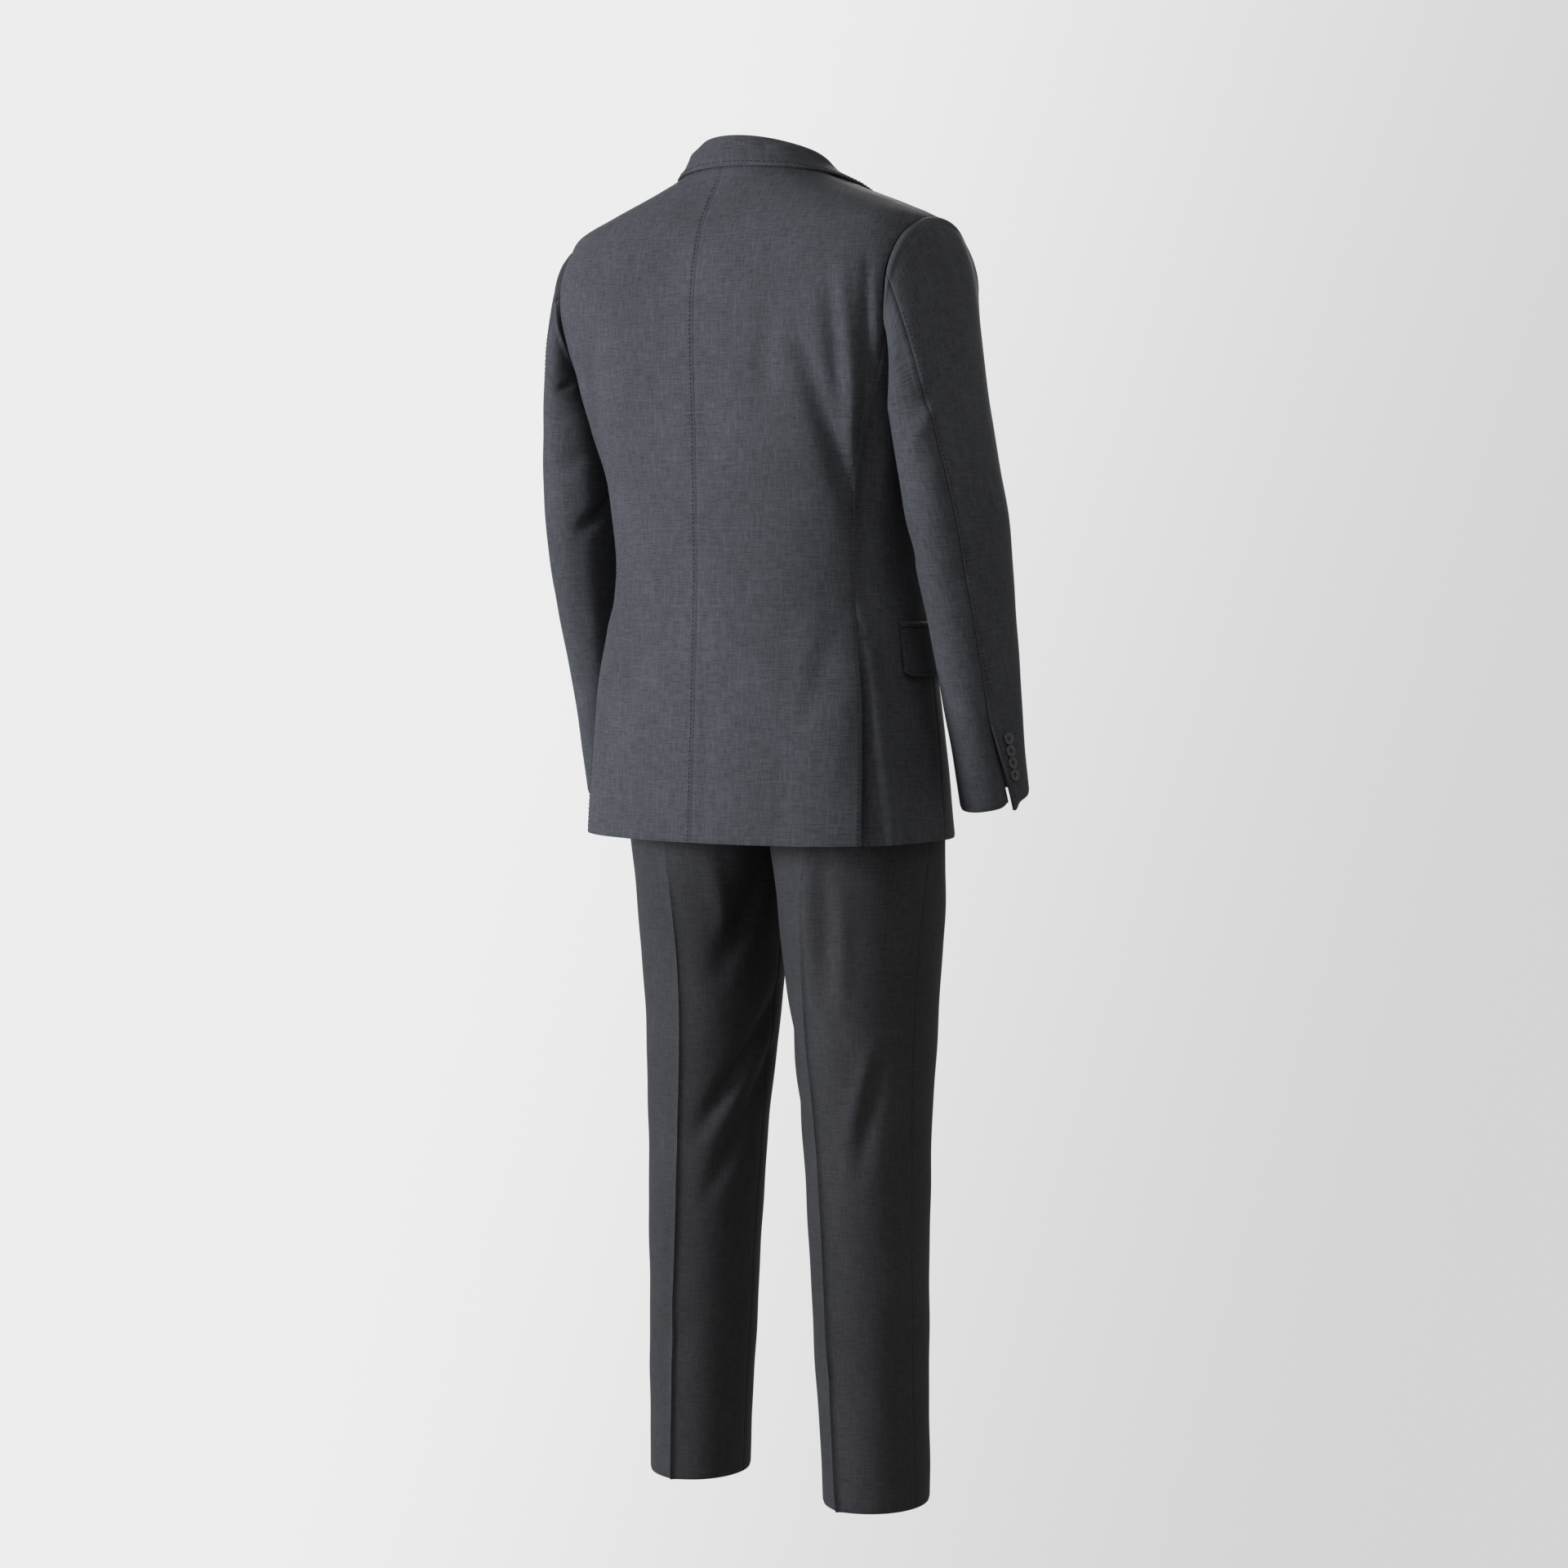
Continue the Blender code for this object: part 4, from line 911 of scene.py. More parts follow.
# %% Sleeves
HIND_SEAM_TURN = 8.0
FOREARM_SEAM_TURN = 212.0
HEAD_SHARE = 0.36
CUFF_CROWDING = 1.05
ROPE_FROM_SEAM = 0.0075
ROPE_HALF_WIDTH = 0.0045
ROPE_HEIGHT = 0.0020
STEEPEST_DROP = 48.0
DROP_LESS_AT_TOP = 38.0
ARM_RINGS = table(
    "z x y half_width half_depth twist tilt",
    (-0.700, 0.2550, -0.0850, 0.0335, 0.0470, 50.0, 0.25),
    (-0.630, 0.2530, -0.0710, 0.0350, 0.0500, 43.0, 0.21),
    (-0.520, 0.2500, -0.0490, 0.0400, 0.0600, 38.0, 0.17),
    (-0.460, 0.2480, -0.0360, 0.0430, 0.0660, 36.0, 0.14),
    (-0.400, 0.2445, -0.0240, 0.0460, 0.0710, 34.0, 0.10),
    (-0.345, 0.2390, -0.0150, 0.0440, 0.0760, 32.0, 0.04),
    (-0.285, 0.2315, -0.0090, 0.0400, 0.0800, 28.0, 0.02),
)
SLEEVE_LENGTH = 0.66
SLEEVE_RADIUS = 0.042
SLEEVE_CLEAR = 0.0016
CUFF_VENT_SHARE = 0.82
CUFF_VENT_TURN = 12.0


def arm_ring(turn, z):
    """The point of a left sleeve's ring at a turn from its back, with the arm's own twist."""
    def read(name):
        return read_rows(ARM_RINGS, name, z)

    angle = np.radians(turn + read("twist"))
    x = read("x") + read("half_width") * np.sin(angle)
    along = read("half_depth") * np.cos(angle)
    return np.stack(np.broadcast_arrays(x, read("y") + along, z - read("tilt") * along), axis=-1)


def sleeve_point(turn, share):
    """A point on a left sleeve: share runs from the armhole, 0, to the cuff, 1."""
    cuff_z, head_z = ARM_RINGS[0].z, ARM_RINGS[-1].z
    turn, share = np.broadcast_arrays(np.asarray(turn, float), np.asarray(share, float))
    t = np.clip(share / HEAD_SHARE, 0, 1)[..., None]
    start = armhole(turn) + np.array([2 * SEAM_GAP, 0, 0])
    end = arm_ring(turn, np.full(turn.shape, head_z))
    after = arm_ring(turn, np.full(turn.shape, head_z - 0.01))
    upness = np.sin(np.radians(turn))
    drop = np.radians(STEEPEST_DROP - DROP_LESS_AT_TOP * upness)
    span = np.linalg.norm(end - start, axis=-1)
    lead = np.stack([np.cos(drop), 0.25 * np.cos(np.radians(turn)), -np.sin(drop)], axis=-1)
    lead = lead * (span * (0.36 + 0.06 * upness))[..., None]
    tail = unit(after - end) * (span * 1.05)[..., None]
    down = np.clip((share - HEAD_SHARE) / (1 - HEAD_SHARE), 0, 1)
    arm = arm_ring(turn, head_z + (cuff_z - head_z) * down)
    return np.where((share <= HEAD_SHARE)[..., None], bridge(t, start, lead, end, tail), arm)


def sleeve_panel(is_top):
    """One half of a left sleeve, with its outward directions."""
    up = fine_shares(150, SLEEVE_LENGTH)[:, None] ** CUFF_CROWDING
    across = fine_shares(50 if is_top else 38, 0.17)
    gap = math.degrees(SEAM_GAP / SLEEVE_RADIUS)
    hind = HIND_SEAM_TURN + CUFF_VENT_TURN * eased(up, CUFF_VENT_SHARE, 1.0)
    first, last = hind + gap, FOREARM_SEAM_TURN - gap + 0 * up
    if not is_top:
        first, last = FOREARM_SEAM_TURN + gap + 0 * up, 360 + hind - gap
    turns = first + (last - first) * across[None, :]
    points = sleeve_point(turns, up)
    beside = sleeve_point(turns + 0.5, up) - sleeve_point(turns - 0.5, up)
    lower, upper = np.minimum(up + 0.01, 1), np.maximum(up - 0.01, 0)
    outward = unit(np.cross(sleeve_point(turns, lower) - sleeve_point(turns, upper), beside))
    middle = sleeve_point(np.linspace(0, 315, 8)[None, :], np.array([[0.7]])).mean(axis=(0, 1))
    row = int(len(points) * 0.7)
    if (outward[row] * (points[row] - middle)).sum() < 0:
        outward = -outward
    lifted = BODY.lifted(points, SLEEVE_CLEAR)
    keep = 1 - eased(up, 0.0, 0.03)
    return points * keep[..., None] + lifted * (1 - keep[..., None]), outward


def with_cuff_vent(points, outward, is_top):
    """Opens the vent: the top sleeve's strip stands off and hangs to a point, the other sinks."""
    up = np.linspace(0, 1, len(points))[:, None] ** CUFF_CROWDING
    edge = points[:, :1] if is_top else points[:, -1:]
    off = np.linalg.norm(points - edge, axis=-1)
    opened = eased(up, CUFF_VENT_SHARE - 0.03, 0.93)
    down = unit(points[-1] - points[-12])
    near = np.exp(-((off / 0.008) ** 2))
    corner = np.exp(-((off / 0.010) ** 2)) * eased(up, 0.90, 1.0)
    lift, drop = (0.0030, 0.0060) if is_top else (-0.0038, -0.0030)
    return points + outward * (lift * opened * near)[..., None] + down * (drop * corner)[..., None]


def roped(points, outward):
    """A soft ridge just below the armhole seam, where the sleeve's fullness is pressed."""
    from_seam = (runs(points) - ROPE_FROM_SEAM) / ROPE_HALF_WIDTH
    return points + outward * (ROPE_HEIGHT * np.exp(-(from_seam**2)))[..., None]


for name, is_top in (("sleeve_top", True), ("sleeve_under", False)):
    points, outward = sleeve_panel(is_top)
    points = roped(with_cuff_vent(points, outward, is_top), outward)
    dress_both(name, points, outward, SLEEVE_FOLDS, ("first", "last", "bottom"), height=0.0009)

# %% [markdown]
# ## Trousers
# Each leg is a round that narrows to the hem, with a pressed crease in front and behind that
# stands out as a thin edge. Above the fork both legs ease into one round seat. The columns of
# points crowd together beside the creases, because a crease is only a few millimetres wide.

# %% Trousers
CROTCH_Z = -0.740
SEAT_Z = -0.640
WAIST_TOP_Z = -0.450
WAISTBAND_HEIGHT = 0.038
TROUSER_HEM_Z = -1.485
SEAM_GAP_TURN = 0.22
CREASE_EXTRA = 0.0010
SEAT_RINGS = table(
    RING_FIELDS,
    (-0.740, 0.1920, 0.0700, -0.160, 2.40),
    (-0.685, 0.1910, 0.0790, -0.156, 2.40),
    (-0.640, 0.1890, 0.0850, -0.150, 2.35),
    (-0.580, 0.1893, 0.0860, -0.146, 2.30),
    (-0.520, 0.1790, 0.0840, -0.136, 2.25),
    (-0.450, 0.1660, 0.0800, -0.130, 2.20),
)
LEG_RINGS = table(
    "z x y half_width half_depth toe_out crease",
    (-1.485, 0.1220, -0.0585, 0.0560, 0.0635, 7.0, 0.0065),
    (-1.280, 0.1150, -0.0570, 0.0610, 0.0690, 8.0, 0.0065),
    (-1.090, 0.1090, -0.0575, 0.0675, 0.0745, 10.0, 0.0060),
    (-0.920, 0.1025, -0.0600, 0.0780, 0.0905, 11.0, 0.0050),
    (-0.810, 0.0990, -0.0590, 0.0890, 0.1005, 6.0, 0.0030),
    (-0.740, 0.0965, -0.0550, 0.0962, 0.1020, 0.0, 0.0),
)
SEAT = Form(SEAT_RINGS)
LEG_MIDDLE = np.array([0.105, -0.057, 0.0])


def leg_ring(turn, z):
    """The point of the left leg's round at a turn from its back, towards +X."""
    def read(name):
        return read_rows(LEG_RINGS, name, z)

    angle = np.radians(turn)
    across = read("half_width") * np.sin(angle)
    beside = np.abs(np.sin(angle))
    sharpness = 0.52 * np.exp(-beside / 0.20) + 0.48 * np.exp(-beside / 0.04)
    pressed_edge = (read("crease") + CREASE_EXTRA) * sharpness
    along = read("half_depth") * np.cos(angle) + np.sign(np.cos(angle)) * pressed_edge
    toe = np.radians(read("toe_out"))
    x = read("x") + across * np.cos(toe) - along * np.sin(toe)
    y = read("y") + along * np.cos(toe) + across * np.sin(toe)
    return np.stack(np.broadcast_arrays(x, y, z), axis=-1)


def crease_shares(count):
    """Shares from 0 to 1 that crowd together at both edges and round the crease at 0.5."""
    half = fine_shares(count, 0.10, near=(0.0010, 0.0022, 0.0045)) * 0.5
    return np.unique(np.concatenate([half, 1 - half]))


def trouser_panel(side):
    band_z = WAIST_TOP_Z - WAISTBAND_HEIGHT
    up = fine_shares(210, 1.0)
    z = (TROUSER_HEM_Z + (band_z - SEAM_GAP - TROUSER_HEM_Z) * up)[:, None]
    share = crease_shares(26)[None, :]
    gap = SEAM_GAP_TURN
    if side > 0:
        leg_turn = -90 + gap + (180 - 2 * gap) * share
        seat_turn = 90 * share - gap * share + gap * (1 - share)
    else:
        leg_turn = 270 - gap - (180 - 2 * gap) * share
        seat_turn = 180 - 90 * share + gap * share - gap * (1 - share)
    leg = leg_ring(leg_turn, np.minimum(z, CROTCH_Z))
    leg[..., 2] = z * np.ones_like(share)
    seat = SEAT.point(seat_turn, np.maximum(z, CROTCH_Z))
    seat[..., 2] = leg[..., 2]
    blend = eased(z, CROTCH_Z, SEAT_Z)[..., None] * np.ones(leg.shape)
    points = leg * (1 - blend) + seat * blend
    above = z * np.ones_like(share) >= CROTCH_Z
    points[..., 0] = np.where(above, np.maximum(points[..., 0], SEAM_GAP), points[..., 0])
    outward = unit(np.cross(np.gradient(points, axis=0), np.gradient(points, axis=1)))
    away = (points - LEG_MIDDLE) * np.array([1.0, 1.0, 0.0])
    if (outward * away).sum() < 0:
        outward = -outward
    return points, outward


def waistband():
    turns = (0.25 + 179.5 * fine_shares(60, 0.43))[None, :]
    low_z = WAIST_TOP_Z - WAISTBAND_HEIGHT + SEAM_GAP
    z = (low_z + (WAIST_TOP_Z - low_z) * fine_shares(8, 0.04))[:, None]
    points = SEAT.point(turns, z)
    points[..., 0] = np.maximum(points[..., 0], SEAM_GAP)
    return points, SEAT.normals(points)


of_trousers = {"wall": TROUSER_WALL, "finish": shaded_trouser_wool, "slot": "trouser_cloth"}
dress_both("trouser_back", *trouser_panel(1), TROUSER_FOLDS, seams, height=0.0012, **of_trousers)
dress_both("trouser_front", *trouser_panel(-1), TROUSER_FOLDS, seams, height=0.0012, **of_trousers)
dress_both("waistband", *waistband(), (), ("first", "last", "bottom"), height=0.0004, **of_trousers)

# %% [markdown]
# ## Pockets
# A flap and the thin jet above it lie on the body, a millimetre or more clear of it at the
# lower edge. The flap's lower corners are drawn up a little. Its edge gets its stitches in a
# later cell.

# %% Pocket flaps and jets
FLAP_LENGTH = 0.150
FLAP_HEIGHT = 0.054
FLAP_WALL = 0.0024
JET_WALL = 0.0016
FLAP_TOP_Z = -0.513
FLAP_BACK_TURN = 82.0
JET_HEIGHT = 0.005
FLAP_TURNS = 80.0
FLAP_TILT = 0.0022
FLAP_CLEAR = 0.0006


def pocket_strip(top_z, bottom_z, wall, rows, columns, corner=0.0):
    turns = np.linspace(FLAP_BACK_TURN, FLAP_BACK_TURN + FLAP_TURNS, 161)
    line = BODY.point(turns, np.full(161, FLAP_TOP_Z))
    share = fine_shares(columns, FLAP_LENGTH)
    turns = np.interp(share * FLAP_LENGTH, runs(line), turns)[None, :]
    round_off = corner * (np.exp(-share * 22) + np.exp(-(1 - share) * 22))
    down = fine_shares(rows, abs(bottom_z - top_z))[:, None]
    z = top_z + (bottom_z + round_off[None, :] - top_z) * down
    points = BODY.point(turns + 0 * z, z)
    outward = BODY.normals(points)
    stands_off = LAID_GAP + wall + FLAP_TILT * down + FLAP_CLEAR
    return points + outward * (stands_off * np.ones_like(z))[..., None], outward


jet_shape = pocket_strip(FLAP_TOP_Z + LAID_GAP + JET_HEIGHT, FLAP_TOP_Z + LAID_GAP, JET_WALL, 3, 40)
jets = dress_both("pocket_jet", *jet_shape, wall=JET_WALL, height=0.0002)
points, outward = pocket_strip(FLAP_TOP_Z, FLAP_TOP_Z - FLAP_HEIGHT, FLAP_WALL, 16, 44, corner=0.006)
of_flap = {"wall": FLAP_WALL, "height": 0.0005}
dress("pocket_flap_left", points, outward, with_pieces=[jets[0]], **of_flap)
dress("pocket_flap_right", flipped(points), flipped(outward), with_pieces=[jets[1]], **of_flap)

# %% [markdown]
# ## Buttons
# One button of each size is modelled and copied. A cylinder is inset and pushed in for a raised
# rim, its edges are beveled, four holes are cut with a Boolean, and two crossed threads join
# them. Each copy's mesh is moved to its place, so each finished object sits at the origin.

# %% Button and thread finishes
def noisy(tree, kind):
    """Noise in the object's own space."""
    place = node(tree, "ShaderNodeTexCoord").outputs["Object"]
    return node(tree, "ShaderNodeTexNoise", {"Vector": place, **kind}).outputs[0]


def button_finish():
    material, tree, shader = new_finish("dark_horn", {"Roughness": 0.36, "Specular IOR Level": 0.35})
    grain = tones(tree, noisy(tree, {"Scale": 420.0, "Detail": 4.0}), 0.35, 0.70, 0.0, 1.0)
    colour = mixed(tree, grain, (0.006, 0.006, 0.007, 1.0), (0.020, 0.020, 0.021, 1.0))
    tree.links.new(colour, shader.inputs["Base Color"])
    return material


def thread_finish(name, colour):
    material, tree, shader = new_finish(name, {"Roughness": 0.8, "Specular IOR Level": 0.1})
    fuzz = tones(tree, noisy(tree, {"Scale": 1500.0}), 0.3, 0.7, 0.2, 1.0)
    tone = mixed(tree, fuzz, colour, (0.6, 0.6, 0.62, 1.0), kind="MULTIPLY")
    tree.links.new(tone, shader.inputs["Base Color"])
    return material


horn = button_finish()
button_thread = thread_finish("button_thread", (0.015, 0.015, 0.017, 1.0))
# The pick thread is darker than the cloth: partly the thread's own colour, partly painted shade for the
# groove along the stitched edges, which is not modelled.
pick_thread_and_shade = thread_finish("pick_thread_and_shade", (0.006, 0.0065, 0.008, 1.0))

# %% One button
BUTTON_THICKNESS = 0.0026
SLEEVE_BUTTON_RADIUS = 0.0072
FRONT_BUTTON_RADIUS = 0.0100
RIM_SHARE = 0.16
DISH_SHARE = 0.12
DISH_DEPTH_SHARE = 0.24
HOLE_STEP_SHARE = 0.22
HOLE_SHARE = 0.10
THREAD_SHARE = 0.055
SHANK_SHARE = 0.16


def apply_modifier(obj, modifier):
    bpy.context.view_layer.objects.active = obj
    bpy.ops.object.modifier_apply(modifier=modifier.name)


def round_bar(radius, depth, place, turn=(0, 0, 0), sides=16):
    deselect()
    bpy.ops.mesh.primitive_cylinder_add(
        vertices=sides, radius=radius, depth=depth, location=place, rotation=turn
    )
    bpy.ops.object.transform_apply()
    return bpy.context.object


def one_button(name, radius):
    """A four-hole button round the origin, facing up."""
    disc = round_bar(radius, BUTTON_THICKNESS, (0, 0, 0), sides=40)
    disc.name = name
    for face in disc.data.polygons:
        face.select = face.normal.z > 0.9
    for edge in disc.data.edges:
        edge.select = False
    bpy.ops.object.mode_set(mode="EDIT")
    bpy.ops.mesh.select_mode(type="FACE")
    bpy.ops.mesh.inset(thickness=radius * RIM_SHARE, depth=0.0)
    bpy.ops.mesh.inset(thickness=radius * DISH_SHARE, depth=-BUTTON_THICKNESS * DISH_DEPTH_SHARE)
    bpy.ops.object.mode_set(mode="OBJECT")
    rim = disc.modifiers.new("rim", "BEVEL")
    rim.width = BUTTON_THICKNESS * 0.20
    rim.segments = 3
    rim.limit_method = "ANGLE"
    apply_modifier(disc, rim)
    step = radius * HOLE_STEP_SHARE
    for x in (-step, step):
        for y in (-step, step):
            hole = round_bar(radius * HOLE_SHARE, BUTTON_THICKNESS * 3, (x, y, 0), sides=12)
            cut = disc.modifiers.new("hole", "BOOLEAN")
            cut.object = hole
            apply_modifier(disc, cut)
            bpy.data.objects.remove(hole)
    deselect()
    disc.select_set(True)
    bpy.context.view_layer.objects.active = disc
    bpy.ops.object.shade_smooth_by_angle(angle=math.radians(35))
    disc.data.materials.clear()
    disc.data.materials.append(horn)
    return disc


def one_knot(name, radius):
    """The crossed threads that hold a button and the thread shank below, round the same origin."""
    length = radius * (HOLE_STEP_SHARE * 2 * math.sqrt(2) + HOLE_SHARE)
    bars = []
    for height, turn in ((0.34, math.pi / 4), (0.44, -math.pi / 4)):
        place = (0, 0, BUTTON_THICKNESS * height)
        bars.append(round_bar(radius * THREAD_SHARE, length, place, (math.pi / 2, 0, turn), 8))
    below = (0, 0, -BUTTON_THICKNESS * 0.55)
    bars.append(round_bar(radius * SHANK_SHARE, BUTTON_THICKNESS * 0.75, below, sides=10))
    deselect()
    for bar in bars:
        bar.select_set(True)
    bpy.context.view_layer.objects.active = bars[0]
    bpy.ops.object.join()
    bars[0].name = name
    bars[0].data.materials.clear()
    bars[0].data.materials.append(button_thread)
    return bars[0]


models = {}
for kind, radius in (("sleeve", SLEEVE_BUTTON_RADIUS), ("front", FRONT_BUTTON_RADIUS)):
    models[kind] = (one_button(f"{kind}_button_model", radius), one_knot(f"{kind}_knot_model", radius))


def place_button(kind, solid, centre, facing, spin):
    """Copies the button and its threads to this place; the pair stands for its solid."""
    turn = Vector((0, 0, 1)).rotation_difference(Vector(facing)).to_matrix().to_4x4()
    place = Matrix.Translation(Vector(centre)) @ turn @ Matrix.Rotation(math.radians(spin), 4, "Z")
    for model, part in zip(models[kind], ("button", "knot")):
        copy = bpy.data.objects.new(f"{solid}_{part}_made", model.data.copy())
        bpy.context.scene.collection.objects.link(copy)
        copy.data.transform(place)
        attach(copy, "root")
        if part == "button":
            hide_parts(solid)


# %% Sew the buttons on
FRONT_BUTTON_Z = (-0.420, -0.522)
SLEEVE_BUTTON_STEP = 0.0136
SLEEVE_BUTTON_TILT = 12.0
SLEEVE_BUTTON_TURN = HIND_SEAM_TURN + 23.0
LOWEST_BUTTON_SHARE = 0.952

for number, z in enumerate(FRONT_BUTTON_Z, 1):
    point = BODY.over(np.array(0.0), np.array(z), -1)
    normal = BODY.normals(point)
    stand_off = JACKET_WALL + 2 * LAID_GAP + BUTTON_THICKNESS / 2
    place_button("front", f"front_button_{number}", point + normal * stand_off, normal, 12 * number)

tilt = math.radians(SLEEVE_BUTTON_TILT)
stand_off = SLEEVE_BUTTON_RADIUS * math.sin(tilt) + BUTTON_THICKNESS / 2
for number in range(4):
    share = LOWEST_BUTTON_SHARE - (3 - number) * SLEEVE_BUTTON_STEP / SLEEVE_LENGTH
    here = sleeve_point(SLEEVE_BUTTON_TURN, share)
    beside = sleeve_point(SLEEVE_BUTTON_TURN + 1, share) - here
    down = unit(sleeve_point(SLEEVE_BUTTON_TURN, share + 0.01) - here)
    normal = unit(np.cross(beside, down))
    normal = normal if normal[0] > 0 else -normal
    facing = normal * math.cos(tilt) - down * math.sin(tilt)
    centre = here + normal * stand_off
    name = f"sleeve_button_left_{number + 1}"
    place_button("sleeve", name, centre, facing, 20 * number)
    name = f"sleeve_button_right_{number + 1}"
    place_button("sleeve", name, flipped(centre), flipped(facing), -25 * number)
for pair in models.values():
    for model in pair:
        bpy.data.objects.remove(model)

# %% [markdown]
# ## Pick stitching
# Along the centre back, the backs' outer edges, the sleeves' hind seams, the flaps, the fronts,
# the lapels and the collar runs a row of tiny stitches. One stitch is a short rounded bar that
# lies on the cloth. It is copied along lines read from the laid sheets, so every row keeps
# the same distance from its edge, and all rows become one mesh.

# %% Stitch rows
STITCH_LENGTH = 0.0027
STITCH_STEP = 0.0048
STITCH_RADIUS = 0.00050
STITCH_FROM_EDGE = 0.0050
CLOSER_TO_EDGE = 0.0042
CLOSEST_TO_EDGE = 0.0036
STITCH_UNEVENNESS = 0.0004
STITCH_LIFT = 0.00012
ROW_END_GAP = 0.003


def row_beside_edge(points, outward, edge, inset):
    """A line this far in from one edge of a laid sheet: its points and outward directions."""
    points, outward = turned_to(points, edge), turned_to(outward, edge)
    run = runs(points, 1)
    line = np.array([along_line(inset, *pair) for pair in zip(run, points)])
    return line, unit(np.array([along_line(inset, *pair) for pair in zip(run, outward)]))


def stitch_model():
    deselect()
    bpy.ops.mesh.primitive_uv_sphere_add(segments=6, ring_count=5, radius=1)
    model = bpy.context.object
    places = np.array([vertex.co[:] for vertex in model.data.vertices])
    faces = [list(face.vertices) for face in model.data.polygons]
    bpy.data.objects.remove(model)
    return places * np.array([STITCH_RADIUS, STITCH_RADIUS * 0.8, STITCH_LENGTH / 2]), faces


def sew(name, rows, finish):
    """Copies the stitch along every row and joins all of them."""
    shape, faces = stitch_model()
    places, all_faces = [], []
    for line, out, start, end in rows:
        run = runs(line)
        at = np.arange(start * run[-1] + ROW_END_GAP, end * run[-1] - ROW_END_GAP, STITCH_STEP)
        at = at + STITCH_UNEVENNESS * np.sin(np.arange(len(at)) * 2.4)
        here = along_line(at, run, line)
        way = unit(along_line(at + 0.001, run, line) - here)
        up = unit(along_line(at, run, out))
        side = unit(np.cross(up, way))
        for centre, x, y, z in zip(here + up * STITCH_LIFT, side, up, way):
            base = len(places) * len(shape)
            places.append(centre + shape @ np.stack([x, y, z]))
            all_faces += [[base + index for index in face] for face in faces]
    mesh = bpy.data.meshes.new(name)
    mesh.from_pydata(np.concatenate(places).tolist(), [], all_faces)
    mesh.shade_smooth()
    mesh.materials.append(finish)
    seam = bpy.data.objects.new(name, mesh)
    bpy.context.scene.collection.objects.link(seam)
    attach(seam, "root")
    print(name, len(places), "stitches")


def stitch_row(name, edge, inset, start, end):
    """One row beside this edge of a laid sheet, from one share of its length to another."""
    return (*row_beside_edge(*laid_points[name], edge, inset), start, end)


rows = []
for side in ("left", "right"):
    rows += [
        stitch_row(f"jacket_back_{side}", "last", STITCH_FROM_EDGE, 0.0, 0.66),
        stitch_row(f"sleeve_top_{side}", "first", CLOSEST_TO_EDGE, 0.08, 0.98),
        stitch_row(f"pocket_flap_{side}", "first", CLOSER_TO_EDGE, 0.0, 1.0),
        stitch_row(f"pocket_flap_{side}", "last", CLOSER_TO_EDGE, 0.0, 1.0),
        stitch_row(f"pocket_flap_{side}", "top", CLOSER_TO_EDGE, 0.0, 1.0),
        stitch_row(f"jacket_front_{side}", "first", STITCH_FROM_EDGE, 0.03, 0.46),
        stitch_row(f"lapel_{side}", "last", STITCH_FROM_EDGE, 0.02, 1.0),
    ]
rows.append(stitch_row("jacket_back_left", "first", CLOSER_TO_EDGE, 0.0, 0.97))
rows.append(stitch_row("collar", "top", STITCH_FROM_EDGE, 0.02, 0.98))
sew("pick_stitches", rows, pick_thread_and_shade)

# %% [markdown]
# ## Floor, light and camera
# A pale floor lies well below the hems, because the suit is held at its neck and stands on
# nothing. One large soft light stands behind the suit, to its left, a weak one falls on its
# right side from above, and a weak wide one fills the front. The room darkens softly towards
# the picture's right, as the photographed one does, so its light is weaker on that side too.
# The floor is black and reflects nothing; it glows like the room, which leaves no line between
# them, so its pale tone is a painted glow and its darkening towards the picture's lower right
# is painted shade. The camera looks from behind the right shoulder.

# %% Stage
FLOOR_Z = -1.95
VIEW_FROM = (-2.0075, 2.8390, -0.487)
FADE_TOWARDS = (-0.819, -0.574, -0.30)
PALE_GREY = (0.80, 0.805, 0.80, 1.0)
GLOW = 1.05
FADED_SHARE = 0.78


def side_fade(tree, direction):
    """The glow's strength this way; it falls softly towards the picture's lower right."""
    facing = {0: direction, 1: FADE_TOWARDS}
    across = node(tree, "ShaderNodeVectorMath", facing, operation="DOT_PRODUCT").outputs["Value"]
    return tones(tree, across, -0.10, 0.28, GLOW, GLOW * FADED_SHARE, way="SMOOTHSTEP")


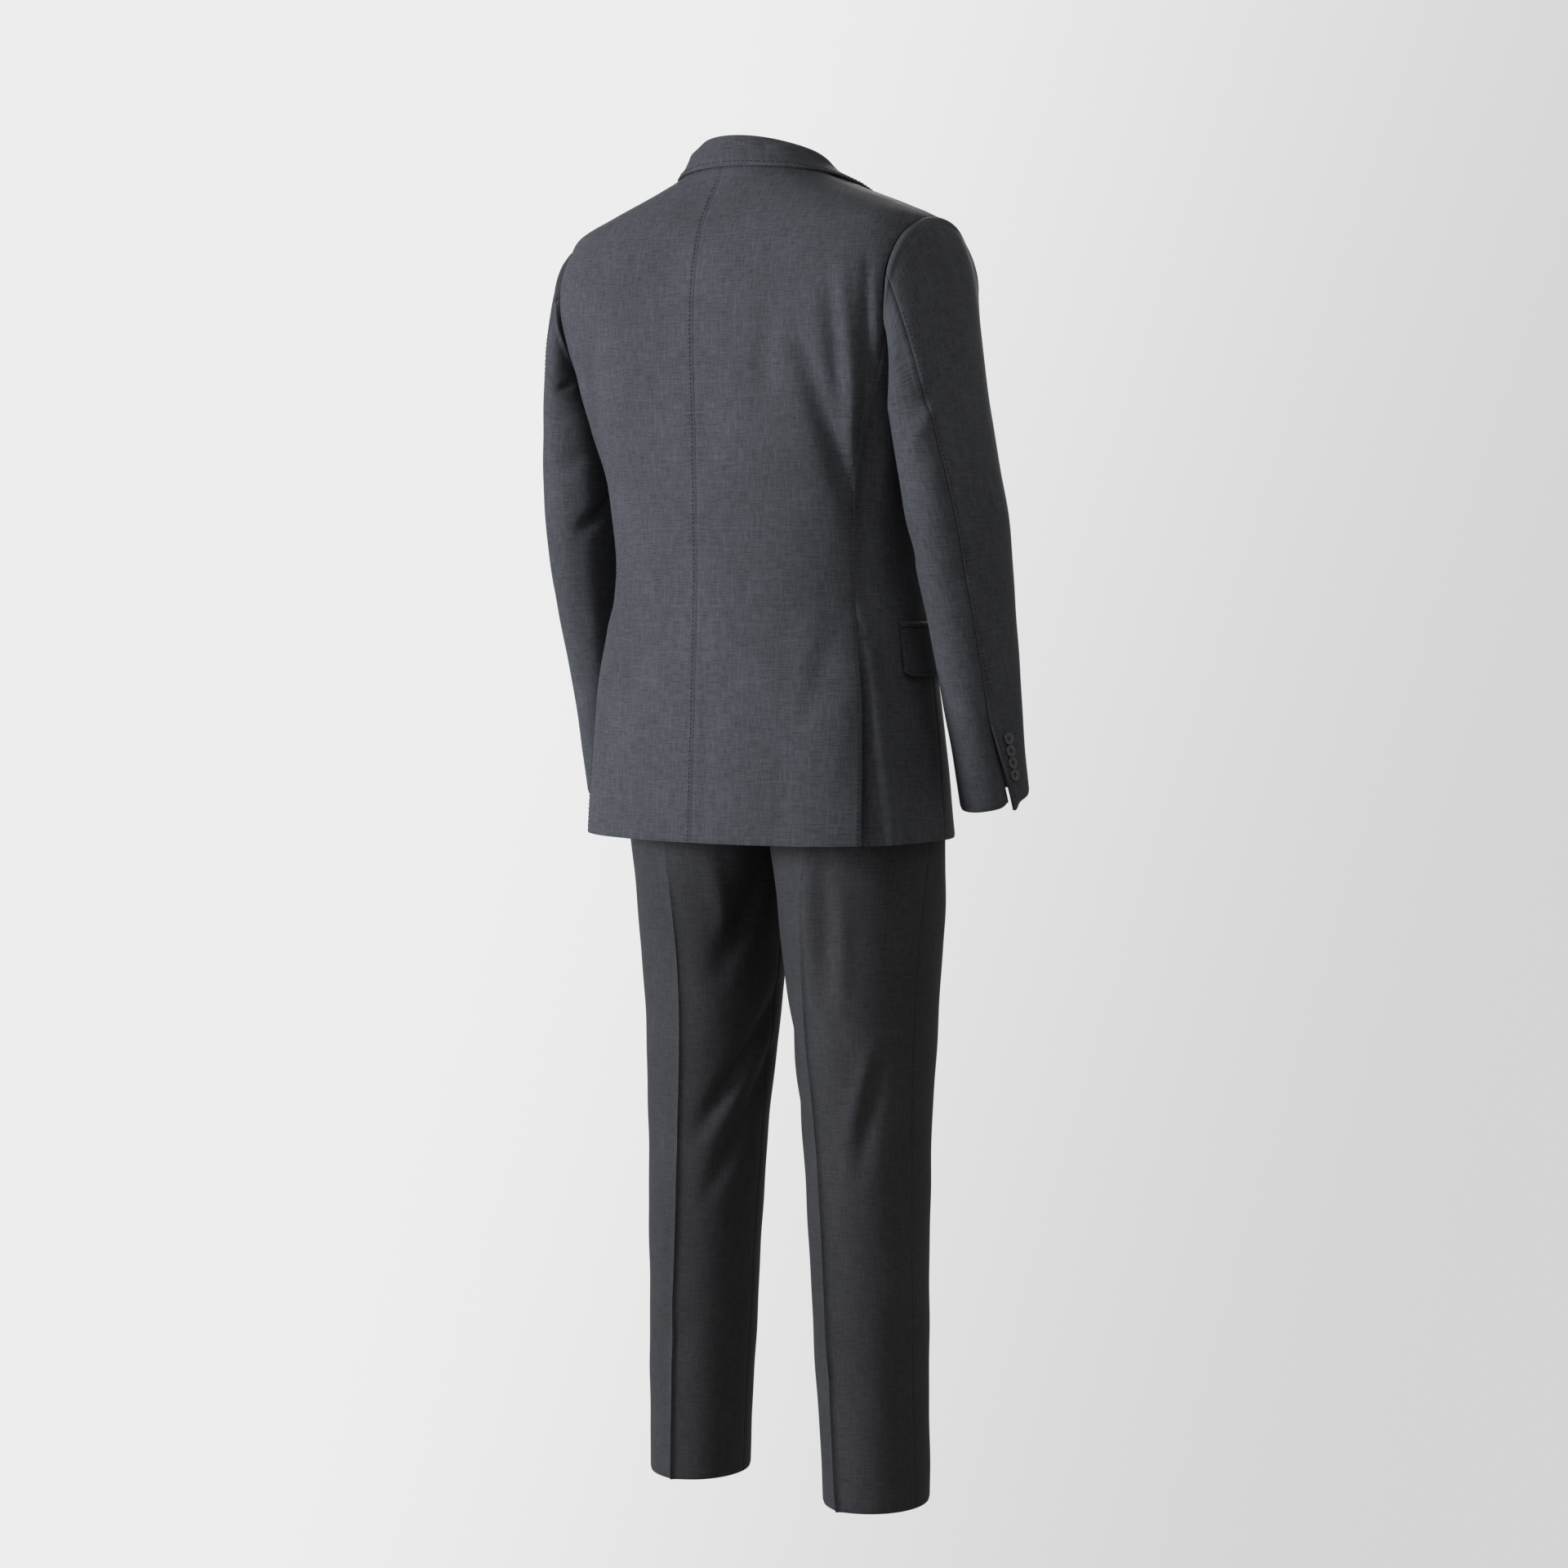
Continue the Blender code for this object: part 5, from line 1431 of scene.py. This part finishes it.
deselect()
bpy.ops.mesh.primitive_plane_add(size=60, location=(0, 0, FLOOR_Z))
floor = bpy.context.object
floor.name = "studio_floor"
bpy.ops.object.transform_apply(location=True)
glowing = {
    "Base Color": (0.0, 0.0, 0.0, 1.0),
    "Roughness": 1.0,
    "Specular IOR Level": 0.0,
    "Emission Color": PALE_GREY,
}
# The floor's own colour is black: its pale tone is a painted glow, and its fall towards the picture's
# lower right is painted shade.
floor_glow, tree, shader = new_finish("glowing_floor", glowing)
place = node(tree, "ShaderNodeTexCoord").outputs["Object"]
from_view = {0: place, 1: VIEW_FROM}
offset = node(tree, "ShaderNodeVectorMath", from_view, operation="SUBTRACT").outputs["Vector"]
direction = node(tree, "ShaderNodeVectorMath", {0: offset}, operation="NORMALIZE").outputs["Vector"]
tree.links.new(side_fade(tree, direction), shader.inputs["Emission Strength"])
floor.data.materials.append(floor_glow)

world = bpy.data.worlds.new("soft_room")
bpy.context.scene.world = world
world.use_nodes = True
tree = world.node_tree
backdrop = tree.nodes["Background"].inputs
backdrop["Color"].default_value = PALE_GREY
direction = node(tree, "ShaderNodeTexCoord").outputs[0]
tree.links.new(side_fade(tree, direction), backdrop["Strength"])


def soft_light(name, place, aim, size, power, colour):
    lamp = bpy.data.lights.new(name, "AREA")
    lamp.shape = "DISK"
    lamp.size = size
    lamp.energy = power
    lamp.color = colour
    light = bpy.data.objects.new(name, lamp)
    bpy.context.scene.collection.objects.link(light)
    light.location = place
    light.rotation_euler = (Vector(aim) - Vector(place)).to_track_quat("-Z", "Y").to_euler()


soft_light("key_light", (2.15, 3.18, -0.2), (0.0, 0.0, -0.6), 1.4, 545, (0.93, 0.97, 1.05))
soft_light("side_fill", (-1.8, 1.5, 1.7), (0.0, 0.0, -0.4), 1.8, 52, (1.0, 1.0, 1.0))
soft_light("front_fill", (1.5, -3.2, 1.0), (0.0, 0.0, -0.7), 2.4, 160, (1.0, 1.0, 1.0))
bpy.context.scene.view_settings.view_transform = "Standard"

# %% Camera
VIEW_TURN = 35.0
VIEW_TILT = 3.3
FOCAL_PIXELS = 3850.0
PICTURE_PIXELS = 1920.0
AIM_LEFT_PIXELS = 15.0

camera = bpy.data.objects.new("camera", bpy.data.cameras.new("camera"))
bpy.context.scene.collection.objects.link(camera)
camera.location = VIEW_FROM
turn, drop = math.radians(VIEW_TURN), math.radians(VIEW_TILT)
look = Vector((math.sin(turn) * math.cos(drop), -math.cos(turn) * math.cos(drop), -math.sin(drop)))
camera.rotation_euler = look.to_track_quat("-Z", "Y").to_euler()
camera.data.sensor_width = 36.0
camera.data.lens = FOCAL_PIXELS / PICTURE_PIXELS * camera.data.sensor_width
camera.data.shift_x = AIM_LEFT_PIXELS / PICTURE_PIXELS
bpy.context.scene.camera = camera
